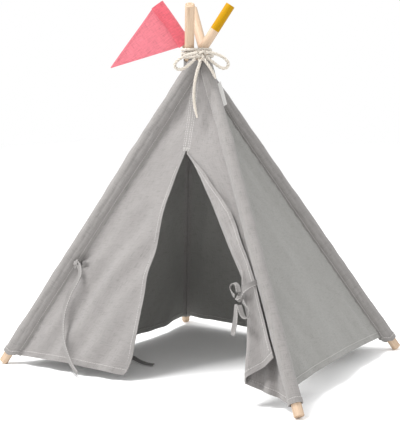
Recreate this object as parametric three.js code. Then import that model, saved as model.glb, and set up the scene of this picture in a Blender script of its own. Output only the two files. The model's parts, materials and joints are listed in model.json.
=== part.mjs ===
// Miniature teepee tent: four wooden poles crossed and lashed near their tops, a cloth cover sewn
// from side panels and pole sleeves, a door flap that hangs free, one that is tied back, a lashing
// rope with a bow, loose fabric ties and a pennant on one pole.
//
// Millimetres, +Z up. The door faces -Y. While it is built, Z runs up through the crossing of the
// poles; the last lines move the origin to the bottom centre of the tent's bounding box.
import * as THREE from "three";
import { mergeVertices } from "three/addons/utils/BufferGeometryUtils.js";

// ---- Driving dimensions ------------------------------------------------------------------------

const POLE_RADIUS = 9;
const POLE_LENGTH = 838;
const POLE_CHAMFER = 1.2;
const FOOT_RADIUS = 405; // from the tent's axis to each foot, along that pole's azimuth
const CROSSING_RISE = 594; // from the centre of a foot's end face up to the crossing
const CROSSING_OFFSET = 16.2; // each pole passes this far to one side of the tent's axis

// Azimuth of each foot, in degrees from +X. The door side is the wide one.
const POLE_AZIMUTHS = {
  front_left: -149.25,
  front_right: -30.75,
  rear_right: 49.75,
  rear_left: 132.5,
};

const CLOTH = 1.2; // thickness of a cloth panel, hem and weave included
const SLEEVE_INNER = 9.5;
const SLEEVE_OUTER = 10.9;
const SLEEVE_START = 22; // bare wood at a foot, along the pole
const SLEEVE_TOP_RISE = 16; // the sleeves end this far below the crossing
const SEAM_OFFSET = 15; // from a pole's axis to the panel sewn to its sleeve, level
const PANEL_TOP = 572;
const SIDE_HEM = 44;

const SLIT_TOP = { across: 11, z: 427 };
const FLAP_FOLD_FOOT = { across: -190, z: 23 }; // where the free flap's fold meets the hem
const FLAP_CORNER = { across: -40, z: 18 };
const LEFT_HEM = 25;
const SPLIT_GAP = 0.8; // between the two halves of one cloth, at a fold
const TIE_HEIGHT = 200; // where the right flap is gathered and tied
const RIGHT_HEM = 27;
const FLAP_TOP_DROP = 14; // the free flap's solid stops this far below the slit's point
const SWEPT_START_RISE = 14; // the right cloth's solid starts this far above the tie
const GATHERED_TOP = 402; // the tied flap's solid ends here, where it becomes a thin fold
const SEAM_GAP = 1; // between the tied flap and the seam of its sleeve

const TAPE = 6; // plain round stand-in for a 10 mm fabric tape
const ROPE = 6.5;
const LASHING_RADIUS = 33.4; // middle of the rope round the four poles
const LASHING_HEIGHTS = [602.6, 609.6];

const LABEL = { low: 512, high: 550, from: 2, to: 11, proud: 3, thickness: 0.8 };

const FLAG_START = 755; // along the pole
const FLAG_END = 846;
const PENNANT_LENGTH = 135;
const PENNANT_THICKNESS = 1.2;
const PENNANT_GAP = 1.4; // between the sleeve and the pennant, where it swings

// ---- Materials ---------------------------------------------------------------------------------

function material(color, roughness) {
  return new THREE.MeshStandardMaterial({ color, roughness, metalness: 0 });
}

const wood = material(0xe1c7b0, 0.6);
const cloth = material(0xaeaaa7, 0.95);
const rope = material(0xebe1d0, 0.95);
const flagCloth = material(0xf18a97, 0.9);
const tapeWhite = material(0xe4e1dd, 0.8);

// ---- Frame of the poles ------------------------------------------------------------------------

const UP = new THREE.Vector3(0, 0, 1);
const tent = new THREE.Group();
const poles = {};

for (const [name, degrees] of Object.entries(POLE_AZIMUTHS)) {
  const azimuth = THREE.MathUtils.degToRad(degrees);
  const outward = new THREE.Vector3(Math.cos(azimuth), Math.sin(azimuth), 0);
  const sideways = new THREE.Vector3(-Math.sin(azimuth), Math.cos(azimuth), 0);
  const along = outward.clone().multiplyScalar(-FOOT_RADIUS);
  along.addScaledVector(UP, CROSSING_RISE).normalize();
  poles[name] = { outward, sideways, along };
}

// A square-cut foot touches the ground with its edge, so its centre is this high.
const FOOT_HEIGHT = POLE_RADIUS * Math.sin(Math.atan(FOOT_RADIUS / CROSSING_RISE));
const CROSSING_HEIGHT = FOOT_HEIGHT + CROSSING_RISE;

/** The point on a pole's axis at a height above the ground. */
function axisAt(name, z) {
  const { outward, sideways } = poles[name];
  const radius = (FOOT_RADIUS * (CROSSING_HEIGHT - z)) / CROSSING_RISE;
  const point = outward.clone().multiplyScalar(radius);
  return point.addScaledVector(sideways, CROSSING_OFFSET).setZ(z);
}

/** The line where the panel between two poles meets the first one's sleeve. */
function seamAt(name, neighbour, z) {
  const point = axisAt(name, z);
  const towards = axisAt(neighbour, z).sub(point).normalize();
  return point.addScaledVector(towards, SEAM_OFFSET);
}

/** A point of the cloth between two poles: u from 0 to 1 across, z the height. */
function clothAt(left, right, u, z) {
  return seamAt(left, right, z).lerp(seamAt(right, left, z), u);
}

/** A point of the front, given across from the middle in millimetres, height and depth outwards. */
function frontAt(across, z, outwards = 0) {
  const width = seamAt("front_left", "front_right", z).distanceTo(
    seamAt("front_right", "front_left", z),
  );
  const point = clothAt("front_left", "front_right", 0.5 + across / width, z);
  return point.addScaledVector(FRONT_OUTWARD, outwards);
}

function faceNormal(left, right) {
  const foot = clothAt(left, right, 0.5, 0);
  const across = clothAt(left, right, 1, 0).sub(foot);
  const rise = clothAt(left, right, 0.5, PANEL_TOP).sub(foot);
  return across.cross(rise).normalize();
}

const FRONT_OUTWARD = faceNormal("front_left", "front_right");

// ---- Shape helpers -----------------------------------------------------------------------------

/** Adds a closed geometry to the tent as a named mesh. */
function add(name, geometry, finish, parent = tent) {
  geometry.deleteAttribute("normal");
  geometry.deleteAttribute("uv");
  const merged = mergeVertices(geometry, 1e-3);
  merged.computeVertexNormals();
  const mesh = new THREE.Mesh(merged, finish);
  mesh.name = name;
  parent.add(mesh);
  return mesh;
}

/**
 * A box bent onto a surface: surface(u, v) gives the middle of the slab, and thickness may be a
 * number or a function of u and v.
 */
function bentSlab(surface, columns, rows, thickness) {
  const geometry = new THREE.BoxGeometry(1, 1, 1, columns, rows, 1);
  const position = geometry.getAttribute("position");
  const step = 1e-3;
  for (let i = 0; i < position.count; i += 1) {
    const u = position.getX(i) + 0.5;
    const v = position.getY(i) + 0.5;
    const point = surface(u, v);
    const u0 = Math.min(u, 1 - step);
    const v0 = Math.min(v, 1 - step);
    const here = surface(u0, v0);
    const alongU = surface(u0 + step, v0).sub(here);
    const alongV = surface(u0, v0 + step).sub(here);
    const normal = alongU.cross(alongV).normalize();
    const thick = typeof thickness === "function" ? thickness(u, v) : thickness;
    point.addScaledVector(normal, position.getZ(i) * thick);
    position.setXYZ(i, point.x, point.y, point.z);
  }
  return geometry;
}

/** Straight-line reading of a table of [z, value] pairs that rise in z. */
function readAt(table, z) {
  const last = table.length - 1;
  if (z <= table[0][0]) return table[0][1];
  if (z >= table[last][0]) return table[last][1];
  const i = table.findIndex(([height]) => height > z);
  const [z0, value0] = table[i - 1];
  const [z1, value1] = table[i];
  return THREE.MathUtils.lerp(value0, value1, (z - z0) / (z1 - z0));
}

/** A round tube through hand-placed points. */
function tube(points, diameter, sides) {
  const path = new THREE.CatmullRomCurve3(points, false, "centripetal");
  const section = new THREE.Shape();
  for (let i = 0; i < sides; i += 1) {
    const angle = (2 * Math.PI * i) / sides;
    const x = (diameter / 2) * Math.cos(angle);
    const y = (diameter / 2) * Math.sin(angle);
    if (i === 0) section.moveTo(x, y);
    else section.lineTo(x, y);
  }
  const steps = Math.max(4, Math.round(path.getLength() / (2 * diameter)));
  return new THREE.ExtrudeGeometry(section, { steps, extrudePath: path, bevelEnabled: false });
}

/** A group whose +Y runs up along a pole from the centre of its foot. */
function poleGroup(name) {
  const group = new THREE.Group();
  const { along } = poles[name];
  group.position.copy(axisAt(name, FOOT_HEIGHT));
  group.quaternion.setFromUnitVectors(new THREE.Vector3(0, 1, 0), along);
  tent.add(group);
  return group;
}

/** A tube of revolution round a pole's axis, between two distances along it. */
function ringRound(from, to, inner, outer, sides) {
  const profile = [
    new THREE.Vector2(inner, from),
    new THREE.Vector2(outer, from),
    new THREE.Vector2(outer, to),
    new THREE.Vector2(inner, to),
    new THREE.Vector2(inner, from),
  ];
  return new THREE.LatheGeometry(profile, sides);
}

// ---- Poles and their sleeves -------------------------------------------------------------------

function poleProfile() {
  return [
    new THREE.Vector2(0, 0),
    new THREE.Vector2(POLE_RADIUS - POLE_CHAMFER, 0),
    new THREE.Vector2(POLE_RADIUS, POLE_CHAMFER),
    new THREE.Vector2(POLE_RADIUS, POLE_LENGTH - POLE_CHAMFER),
    new THREE.Vector2(POLE_RADIUS - POLE_CHAMFER, POLE_LENGTH),
    new THREE.Vector2(0, POLE_LENGTH),
  ];
}

const SLANT = Math.hypot(1, FOOT_RADIUS / CROSSING_RISE); // length along a pole per unit of height
const sleeveEnd = (CROSSING_RISE - SLEEVE_TOP_RISE) * SLANT;
const POLE_SIDES = 24;
const SLEEVE_SIDES = 20;

for (const name of Object.keys(poles)) {
  const group = poleGroup(name);
  add(`pole_${name}`, new THREE.LatheGeometry(poleProfile(), POLE_SIDES), wood, group);
  const sleeve = ringRound(SLEEVE_START, sleeveEnd, SLEEVE_INNER, SLEEVE_OUTER, SLEEVE_SIDES);
  add(`pole_sleeve_${name}`, sleeve, cloth, group);
}

// ---- Closed sides of the cover -----------------------------------------------------------------

const PANEL_COLUMNS = 4;
const PANEL_ROWS = 8;
const SWEPT_ROWS = 12; // where an edge is curved
const GATHERED_ROWS = 14;

function sidePanel(name, left, right) {
  const surface = (u, v) => clothAt(left, right, u, THREE.MathUtils.lerp(SIDE_HEM, PANEL_TOP, v));
  add(name, bentSlab(surface, PANEL_COLUMNS, PANEL_ROWS, CLOTH), cloth);
}

sidePanel("panel_right", "front_right", "rear_right");
sidePanel("panel_rear", "rear_right", "rear_left");
sidePanel("panel_left", "rear_left", "front_left");

// ---- Front of the cover ------------------------------------------------------------------------

/** Half the width of the front cloth at a height, from its middle to a sleeve's seam. */
function halfWidth(z) {
  const left = seamAt("front_left", "front_right", z);
  return left.distanceTo(seamAt("front_right", "front_left", z)) / 2;
}

/** Cloth of the front between two edges given as functions of height. */
function frontCloth(name, low, high, leftEdge, rightEdge, rows, depth, thickness) {
  const surface = (u, v) => {
    const z = THREE.MathUtils.lerp(low, high, v);
    const across = THREE.MathUtils.lerp(leftEdge(z), rightEdge(z), u);
    return frontAt(across, z, depth(z));
  };
  add(name, bentSlab(surface, PANEL_COLUMNS, rows, thickness), cloth);
}

const flat = () => 0;

// The middle seam runs from the top down to the slit; below it the left cloth ends at its fold.
const middleEdge = [
  [FLAP_FOLD_FOOT.z, FLAP_FOLD_FOOT.across],
  [SLIT_TOP.z, SLIT_TOP.across],
  [PANEL_TOP, 0],
];
const freeEdge = [
  [FLAP_CORNER.z, FLAP_CORNER.across],
  [178, -31],
  [SLIT_TOP.z, SLIT_TOP.across],
];
const FLAP_TOP = SLIT_TOP.z - FLAP_TOP_DROP;

frontCloth(
  "front_panel_left",
  LEFT_HEM,
  PANEL_TOP,
  (z) => -halfWidth(z),
  (z) => readAt(middleEdge, z) - SPLIT_GAP / 2,
  PANEL_ROWS,
  flat,
  CLOTH,
);
frontCloth(
  "door_flap_left",
  FLAP_CORNER.z,
  FLAP_TOP,
  (z) => readAt(middleEdge, z) + SPLIT_GAP,
  (z) => readAt(freeEdge, z),
  PANEL_ROWS,
  flat,
  CLOTH,
);

// The right cloth is pulled aside, so its edge sweeps from the slit's top to the tie.
const sweptEdge = [
  [TIE_HEIGHT, 215],
  [239, 182],
  [322, 125],
  [390, 43],
  [420, 17],
  [SLIT_TOP.z, SLIT_TOP.across],
  [PANEL_TOP, 0],
];
const SWEPT_START = TIE_HEIGHT + SWEPT_START_RISE;

frontCloth(
  "front_panel_right",
  SWEPT_START,
  PANEL_TOP,
  (z) => readAt(sweptEdge, z) + SPLIT_GAP,
  halfWidth,
  SWEPT_ROWS,
  flat,
  CLOTH,
);

// The flap itself is gathered behind that edge, held by the tie and flared below it.
const gatheredEdge = [
  [RIGHT_HEM, 231],
  [144, 209],
  [185, 187],
  [210, 184],
  [265, 137],
  [341, 82],
  [GATHERED_TOP, 33],
];
const gatheredBack = [
  [RIGHT_HEM, 318],
  [90, 276],
  [144, 245],
  [185, 216],
  [210, 213],
  [239, 190],
  [322, 131],
  [390, 55],
  [GATHERED_TOP, 43],
];
const gatheredDepth = [
  [RIGHT_HEM, -1],
  [175, -3],
  [195, -8],
  [GATHERED_TOP, -6],
];
const gatheredThickness = [
  [RIGHT_HEM, 14],
  [150, 12],
  [200, 7],
  [GATHERED_TOP, 3],
];

frontCloth(
  "door_flap_right",
  RIGHT_HEM,
  GATHERED_TOP,
  (z) => readAt(gatheredEdge, z),
  (z) => Math.min(readAt(gatheredBack, z), halfWidth(z) - SEAM_GAP),
  GATHERED_ROWS,
  (z) => readAt(gatheredDepth, z),
  (u, v) => readAt(gatheredThickness, THREE.MathUtils.lerp(RIGHT_HEM, GATHERED_TOP, v)),
);

// ---- Tie round the gathered flap ---------------------------------------------------------------

const BAND = { across: 198.5, depth: -7, halfWidth: 18.6, halfDepth: 8, height: 10, thickness: 1.2 };

function bandShape() {
  const shape = new THREE.Shape();
  const outerWidth = BAND.halfWidth + BAND.thickness;
  const outerDepth = BAND.halfDepth + BAND.thickness;
  shape.absellipse(0, 0, outerWidth, outerDepth, 0, 2 * Math.PI, false, 0);
  const hole = new THREE.Path();
  hole.absellipse(0, 0, BAND.halfWidth, BAND.halfDepth, 0, 2 * Math.PI, true, 0);
  shape.holes.push(hole);
  return shape;
}

const frontAcross = frontAt(1, TIE_HEIGHT).sub(frontAt(0, TIE_HEIGHT)).normalize();
const frontRise = FRONT_OUTWARD.clone().cross(frontAcross).normalize();
const bandGroup = new THREE.Group();
bandGroup.position.copy(frontAt(BAND.across, TIE_HEIGHT, BAND.depth));
bandGroup.quaternion.setFromRotationMatrix(
  // the band's own Y lies inwards, so that X, Y and Z stay right-handed
  new THREE.Matrix4().makeBasis(frontAcross, FRONT_OUTWARD.clone().negate(), frontRise),
);
tent.add(bandGroup);
const bandGeometry = new THREE.ExtrudeGeometry(bandShape(), {
  depth: BAND.height,
  bevelEnabled: false,
  curveSegments: 12,
});
bandGeometry.translate(0, 0, -BAND.height / 2);
add("tieback_band", bandGeometry, cloth, bandGroup);

// Routes are hand-placed points: across the front, height, and distance outwards from it.
const route = (points) => points.map(([across, z, outwards]) => frontAt(across, z, outwards));

const KNOT_SIDES = 12; // a knot's plain ball
const KNOT_ROWS = 8;
const KNOT = { across: 196, z: 174, outwards: 15, radius: 6 };
const knot = new THREE.SphereGeometry(KNOT.radius, KNOT_SIDES, KNOT_ROWS);
const knotMesh = add("tieback_knot", knot, cloth);
knotMesh.position.copy(frontAt(KNOT.across, KNOT.z, KNOT.outwards));

const TIEBACK_ROUTES = {
  tieback_loop_upper: [
    [193, 184.5, 17],
    [191.5, 190, 18.5],
    [188.5, 195.5, 19.5],
    [183.5, 198.3, 20],
    [177.5, 196.5, 19],
    [174.5, 190.5, 18],
    [178, 183.5, 17],
    [186, 177, 16.5],
  ],
  tieback_loop_lower: [
    [206, 170.5, 18.5],
    [214, 164, 20],
    [222.5, 158, 21.5],
    [226.5, 151, 21.5],
    [222.5, 144, 20],
    [214.5, 144.5, 18],
    [207.5, 151, 17.5],
    [203, 157.5, 17],
    [199, 163.8, 16.5],
  ],
  tieback_tail: [
    [191.5, 164.5, 15],
    [192.5, 156, 14],
    [194.5, 145, 13.5],
    [194.5, 133.5, 12],
    [193.5, 123.5, 10],
    [192.5, 113.5, 8],
  ],
};
const TAPE_SIDES = 8;

for (const [name, points] of Object.entries(TIEBACK_ROUTES)) {
  add(name, tube(route(points), TAPE, TAPE_SIDES), cloth);
}

// ---- Loose ties of the left side ---------------------------------------------------------------

const outerTie = route([
  [-203, 210, 5],
  [-188, 199, 8],
  [-183, 184.5, 8],
  [-190, 169, 7],
  [-199.5, 151.5, 7],
  [-204, 134, 7],
  [-205.5, 115.5, 7],
  [-203.5, 97, 7],
  [-199, 79, 7],
  [-192, 61, 7],
  [-181.5, 44, 7],
  [-169.5, 29, 7],
  [-155.5, 16.5, 7],
  [-143, 8, 7],
]);
add("left_tie_outer", tube(outerTie, TAPE, TAPE_SIDES), cloth);

// This one hangs inside and runs out on the ground, so its points are plain X, Y and Z.
const GROUND = TAPE / 2 + 1.2; // clear of the ground once the feet's chamfers are let down to it
const innerTie = [
  [-196, -141, 206],
  [-195, -133, 180],
  [-193, -124, 145],
  [-191, -113, 108],
  [-188, -100, 72],
  [-185, -86, 40],
  [-181, -70, 17],
  [-175, -56, 7],
  [-165, -46, GROUND],
  [-150, -46, GROUND],
  [-134, -54, GROUND],
  [-120, -61, GROUND],
  [-105, -67, GROUND],
  [-88, -71, GROUND],
  [-72, -70, GROUND],
].map(([x, y, z]) => new THREE.Vector3(x, y, z));
add("left_tie_inner", tube(innerTie, TAPE, TAPE_SIDES), cloth);

// ---- Lashing rope ------------------------------------------------------------------------------

const ROPE_SIDES = 10;
const RING_SEGMENTS = 32;

LASHING_HEIGHTS.forEach((height, i) => {
  const ring = new THREE.TorusGeometry(LASHING_RADIUS, ROPE / 2, ROPE_SIDES, RING_SEGMENTS);
  const mesh = add(`lashing_turn_${i + 1}`, ring, rope);
  mesh.position.set(0, 0, height);
});

// The bow faces the viewer who stands off the front right corner: points are given to that
// viewer's right, in height, and out from the tent's axis.
const BOW_FACING = THREE.MathUtils.degToRad(-51);
const bowOut = new THREE.Vector3(Math.cos(BOW_FACING), Math.sin(BOW_FACING), 0);
const bowRight = new THREE.Vector3(-Math.sin(BOW_FACING), Math.cos(BOW_FACING), 0);
const bowAt = ([right, z, out]) =>
  bowOut.clone().multiplyScalar(out).addScaledVector(bowRight, right).setZ(z);

const LASHING_KNOT = { right: 6, z: 606, out: 45.5, radius: 8 };
const lashingKnot = new THREE.SphereGeometry(LASHING_KNOT.radius, KNOT_SIDES, KNOT_ROWS);
const lashingKnotMesh = add("lashing_knot", lashingKnot, rope);
lashingKnotMesh.position.copy(bowAt([LASHING_KNOT.right, LASHING_KNOT.z, LASHING_KNOT.out]));

const LASHING_ROUTES = {
  lashing_loop_left: [
    [-3.5, 608.5, 46],
    [-14, 606, 46],
    [-26, 602, 46],
    [-37, 596, 45],
    [-43, 588, 44],
    [-41, 581, 43],
    [-33, 578.5, 43],
    [-23, 582, 43],
    [-13, 590, 44],
    [-4.5, 598, 45],
  ],
  lashing_loop_right: [
    [15.5, 609, 46],
    [27, 608, 46],
    [39, 604, 46],
    [50, 598, 45],
    [57, 589, 44],
    [55, 581, 43],
    [47, 579, 43],
    [37, 584, 43],
    [27, 592, 44],
    [16.5, 600, 45],
  ],
  lashing_tail_long: [
    [4.5, 596.3, 48.5],
    [3.3, 588, 50],
    [-1.7, 573.5, 50],
    [-5.9, 555, 49],
    [-8.2, 536.5, 48],
    [-8.2, 518, 48.5],
    [-6, 501.5, 52],
    [-3, 488, 58],
  ],
  lashing_tail_short: [
    [12, 596.6, 49.5],
    [18, 588, 51],
    [24, 579, 51],
    [29, 570, 51],
    [33, 560, 52],
  ],
};

for (const [name, points] of Object.entries(LASHING_ROUTES)) {
  add(name, tube(points.map(bowAt), ROPE, ROPE_SIDES), rope);
}

// ---- Blank label in the seam of the right panel ------------------------------------------------

const RIGHT_OUTWARD = faceNormal("front_right", "rear_right");

function labelSurface(u, v) {
  const z = THREE.MathUtils.lerp(LABEL.low, LABEL.high, v);
  const seam = seamAt("front_right", "rear_right", z);
  const towards = seamAt("rear_right", "front_right", z).sub(seam).normalize();
  seam.addScaledVector(towards, THREE.MathUtils.lerp(LABEL.from, LABEL.to, u));
  return seam.addScaledVector(RIGHT_OUTWARD, LABEL.proud);
}

add("side_label", bentSlab(labelSurface, 1, 3, LABEL.thickness), tapeWhite);

// ---- Flag --------------------------------------------------------------------------------------

const flagGroup = poleGroup("rear_right");
const flagSleeve = ringRound(FLAG_START, FLAG_END, SLEEVE_INNER, SLEEVE_OUTER, SLEEVE_SIDES);
add("flag_sleeve", flagSleeve, flagCloth, flagGroup);

// The pennant hangs in the upright plane through the pole, on the pole's underside.
const flagPole = poles.rear_right;
const below = flagPole.sideways.clone().cross(flagPole.along).normalize();
const pennantShape = new THREE.Shape();
const pennantRoot = SLEEVE_OUTER + PENNANT_GAP;
pennantShape.moveTo(pennantRoot, FLAG_START);
pennantShape.lineTo(pennantRoot + PENNANT_LENGTH, (FLAG_START + FLAG_END) / 2);
pennantShape.lineTo(pennantRoot, FLAG_END);
pennantShape.closePath();
const pennantGeometry = new THREE.ExtrudeGeometry(pennantShape, {
  depth: PENNANT_THICKNESS,
  bevelEnabled: false,
});
pennantGeometry.translate(0, 0, -PENNANT_THICKNESS / 2);
const downside = below.z > 0 ? below.clone().negate() : below;
const pennantGroup = new THREE.Group();
pennantGroup.position.copy(axisAt("rear_right", FOOT_HEIGHT));
pennantGroup.quaternion.setFromRotationMatrix(
  new THREE.Matrix4().makeBasis(
    downside,
    flagPole.along,
    downside.clone().cross(flagPole.along),
  ),
);
tent.add(pennantGroup);
add("flag_pennant", pennantGeometry, flagCloth, pennantGroup);

// ---- Origin ------------------------------------------------------------------------------------

const CORDS = new Set([
  ...Object.keys(TIEBACK_ROUTES),
  ...Object.keys(LASHING_ROUTES),
  "left_tie_outer",
  "left_tie_inner",
]);

const box = new THREE.Box3();
tent.updateMatrixWorld(true);
tent.traverse((object) => {
  if (object.isMesh && !CORDS.has(object.name)) box.expandByObject(object, true);
});
const centre = box.getCenter(new THREE.Vector3());
tent.position.set(-centre.x, -centre.y, -box.min.z);

export default tent;
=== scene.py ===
"""Looks of the miniature teepee tent: cloth, poles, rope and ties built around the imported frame.

Shapes are worked out in millimetres in the frame's own axes (door towards -Y, +Z up) and become
metres where a mesh is made.
"""

import json
import math

import bmesh
import bpy
import numpy as np
from mathutils import Matrix, Vector, noise


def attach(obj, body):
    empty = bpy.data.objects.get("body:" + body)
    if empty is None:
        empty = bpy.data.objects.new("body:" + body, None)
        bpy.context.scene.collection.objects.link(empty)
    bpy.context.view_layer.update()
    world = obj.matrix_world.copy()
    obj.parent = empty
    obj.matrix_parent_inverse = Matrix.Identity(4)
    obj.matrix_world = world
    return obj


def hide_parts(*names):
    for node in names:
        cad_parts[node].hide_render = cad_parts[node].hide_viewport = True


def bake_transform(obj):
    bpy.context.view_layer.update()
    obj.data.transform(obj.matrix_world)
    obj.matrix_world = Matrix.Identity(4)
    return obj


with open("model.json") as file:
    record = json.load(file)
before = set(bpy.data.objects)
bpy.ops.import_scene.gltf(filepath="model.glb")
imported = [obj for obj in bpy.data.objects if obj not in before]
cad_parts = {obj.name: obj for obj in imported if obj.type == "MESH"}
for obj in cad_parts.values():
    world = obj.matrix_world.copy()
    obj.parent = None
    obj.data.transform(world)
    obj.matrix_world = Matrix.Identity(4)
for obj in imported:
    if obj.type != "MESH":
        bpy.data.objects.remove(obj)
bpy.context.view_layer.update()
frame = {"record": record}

MM = 0.001

# ---- Sizes, in millimetres -----------------------------------------------------------------------

POLE_RADIUS = 9.0
POLE_LENGTH = 838.0
POLE_ROUNDING = 1.4  # of the edges of its ends
PAINT_LENGTH = 55.0  # of the yellow tip

CLOTH = 0.8
HEM = 12.0
HEM_THICKNESS = 2.0
SLEEVE_HEM = 9.0
EDGE_HEM = 9.0  # of the flaps' upright edges
EDGE_THICKNESS = 1.6
HEM_SEAM_SHARE = 0.85  # of the way up a hem, where its stitches run
CENTRE_SEAMS = (3.0, 7.0)  # from the centre seam to the two rows of stitches on each side
STITCH_LENGTH = 3.2
STITCH_PITCH = 4.6
# A stitch's sections: share of its length, half its width, and height over the cloth.
STITCH_SECTIONS = [(0, 0.16, 0.02), (0.25, 0.3, 0.26), (0.75, 0.3, 0.26), (1, 0.16, 0.02)]
STITCH_DEPTH = 0.15  # that a stitch reaches into the cloth

SLEEVE_START = 22.0  # along the pole
SLEEVE_END = 718.0
PANEL_END = 711.0
SLEEVE_RADIUS = 10.6  # of the cloth round the wood
SEAM_OFFSET = 16.0  # from a pole's axis to the seams at its sleeve's sides
WIDE_SEAM_OFFSET = 20.0  # of the sleeve of the front left pole, on the door side
FRONT_LEVEL = -8.0  # of the front cloth, out of the plane through its poles
SEAM_LEVEL = -9.6  # the cloth passes inside the poles, and the sleeves are sewn on outside
SEAM_CLEARANCE = 3.0  # half of the least width of a panel, at its top
TOP_EASE = 150.0  # below the sleeves' ends, where the cloth starts to come level with the poles

# Places on the front: across from its middle, and height.
SLIT_TOP = (1.0, 427.0)
FOLD_FOOT = (-190.0, 23.0)  # of the line that the free flap turns about
SEAM_TOP_ACROSS = -7.0
SLIT_EASE = 120.0  # below the slit's top, where the cloths on its two sides meet evenly
# The free flap's edge; height, across.
FREE_EDGE = [
    (19.0, -58.0), (24.0, -51.0), (37.0, -45.5), (57.0, -41.0), (93.0, -37.0), (150.0, -36.0),
    (190.0, -35.5), (226.0, -33.0), (263.0, -29.5), (336.0, -21.0), (383.0, -11.0), (426.0, 0.5),
]
TIE_HEIGHT = 200.0

# The tied flap folds outwards along this line; height, across.
FOLD_EDGE = [
    (40.0, 228.0), (90.0, 219.0), (144.0, 206.0), (185.0, 184.0), (210.0, 179.0), (265.0, 134.0),
    (341.0, 77.0), (402.0, 27.0), (427.0, 1.0),
]
# Its free edge lies over the cloth that it is folded back on; height, across, outwards.
BACK_EDGE = [
    (88.0, 278.0, 3.0), (144.0, 245.0, 1.0), (190.0, 220.0, 0.0), (203.0, 214.0, 0.0),
    (239.0, 189.0, -1.0), (322.0, 130.0, -1.0), (390.0, 52.0, -4.0), (425.0, 5.0, -7.0),
]

TAPE_WIDTH = 9.5
TAPE_THICKNESS = 1.2
TAPE_STEP = 1.6  # between the cross-sections of a tape
ROPE = 6.5
ROPE_PITCH = 19.0  # along the rope, for one turn of its strands
ROPE_STEP = 1.2

LASHING_AXIS = np.array([-8.283, -48.935])  # where the poles cross
LASHING_HEIGHTS = [602.4, 608.9, 615.3]
CAD_TURNS = 2  # the upper turn has no solid of its own
LASHING_REACH = 14.0  # from a pole's axis to the middle of the rope round it
BOW_FACING = math.radians(-51)

FLAG_START = 755.0
FLAG_END = 846.0
FLAG_SEAM = 13.2  # from the pole's axis to the line of stitches beside it
PENNANT_LENGTH = 133.0
PENNANT_TIP = 1.6  # the width of its end
PENNANT_HEM = 5.0
PENNANT_HEM_THICKNESS = 1.3

# ---- Camera --------------------------------------------------------------------------------------

CAMERA_POSITION = (1.3896, -1.7724, 0.5685)
CAMERA_FORWARD = Vector((-0.6262, 0.7708, -0.1174))
CAMERA_UP = Vector((-0.0573, 0.1046, 0.9929))
FOCAL_LENGTH = 98.43
SENSOR_WIDTH = 36


def make_camera():
    data = bpy.data.cameras.new("camera")
    data.lens = FOCAL_LENGTH
    data.sensor_width = SENSOR_WIDTH
    camera = bpy.data.objects.new("camera", data)
    bpy.context.scene.collection.objects.link(camera)
    back = -CAMERA_FORWARD.normalized()
    right = CAMERA_UP.cross(back).normalized()
    up = back.cross(right)
    turn = Matrix((right, up, back)).transposed()
    camera.matrix_world = Matrix.Translation(CAMERA_POSITION) @ turn.to_4x4()
    bpy.context.scene.camera = camera


make_camera()

# ---- Small mathematics ---------------------------------------------------------------------------


def unit(vectors):
    vectors = np.asarray(vectors, float)
    return vectors / np.maximum(np.linalg.norm(vectors, axis=-1, keepdims=True), 1e-9)


def smooth(t):
    t = np.clip(t, 0, 1)
    return t * t * (3 - 2 * t)


def lerp(a, b, t):
    return a + (b - a) * t


def bump_at(x, middle, width):
    return np.exp(-(((x - middle) / width) ** 2))


def read_table(table, heights, column=1):
    """A table's column at given heights, in straight lines between its rows."""
    rows = np.array(table, float)
    return np.interp(heights, rows[:, 0], rows[:, column])


def reach_along(line):
    """How far along a line each of its points is."""
    gaps = np.linalg.norm(np.diff(line, axis=0), axis=1)
    return np.concatenate([[0], np.cumsum(gaps)])


def evenly(line, step):
    """The same line with evenly spaced points."""
    reach = reach_along(line)
    count = max(3, int(round(reach[-1] / step)) + 1)
    at = np.linspace(0, reach[-1], count)
    return np.column_stack([np.interp(at, reach, line[:, k]) for k in range(3)])


CURVE_STEPS = 16  # from one given point to the next


def through(points, step):
    """A smooth line through given points, with evenly spaced points of its own."""
    points = np.asarray(points, float)
    wide = np.vstack([2 * points[0] - points[1], points, 2 * points[-1] - points[-2]])
    t = np.linspace(0, 1, CURVE_STEPS, endpoint=False)[:, None]
    stretches = []
    for p0, p1, p2, p3 in zip(wide, wide[1:], wide[2:], wide[3:]):
        square = (2 * p0 - 5 * p1 + 4 * p2 - p3) * t**2
        cube = (3 * p1 - p0 - 3 * p2 + p3) * t**3
        stretches.append(0.5 * (2 * p1 + (p2 - p0) * t + square + cube))
    stretches.append(points[-1:])
    return evenly(np.vstack(stretches), step)


def circle_angles(count):
    return 2 * math.pi * np.arange(count) / count


def directions(angles, first, second):
    """Vectors at angles from the first one towards the second."""
    return np.multiply.outer(np.cos(angles), first) + np.multiply.outer(np.sin(angles), second)


def ripple(points, scale, seed=0.0):
    """Smooth noise from -1 to 1 at each point, with features about scale millimetres wide."""
    flat = np.asarray(points, float).reshape(-1, 3) / scale + seed
    values = [noise.noise(Vector(p)) for p in flat]
    return np.array(values).reshape(np.asarray(points).shape[:-1])


# ---- Poles as the frame has them -----------------------------------------------------------------

CORNERS = ["front_left", "front_right", "rear_right", "rear_left"]
HIGH_ON_POLES = 560.0  # a height near the crossing, where a side's tilt is read
SIDES = {
    "front": ("front_left", "front_right"),
    "right": ("front_right", "rear_right"),
    "rear": ("rear_right", "rear_left"),
    "left": ("rear_left", "front_left"),
}
mounts = {mount["name"]: mount for mount in frame["record"]["mounts"]}
FOOT = {name: np.array(mounts[f"foot_{name}"]["pos_m"]) / MM for name in CORNERS}
ALONG = {name: -unit(mounts[f"foot_{name}"]["axis"]) for name in CORNERS}


def pole_point(corner, reach):
    """Points on a pole's axis at distances along it from its foot."""
    return FOOT[corner] + np.multiply.outer(np.asarray(reach, float), ALONG[corner])


def reach_at(corner, height):
    return (height - FOOT[corner][2]) / ALONG[corner][2]


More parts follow.
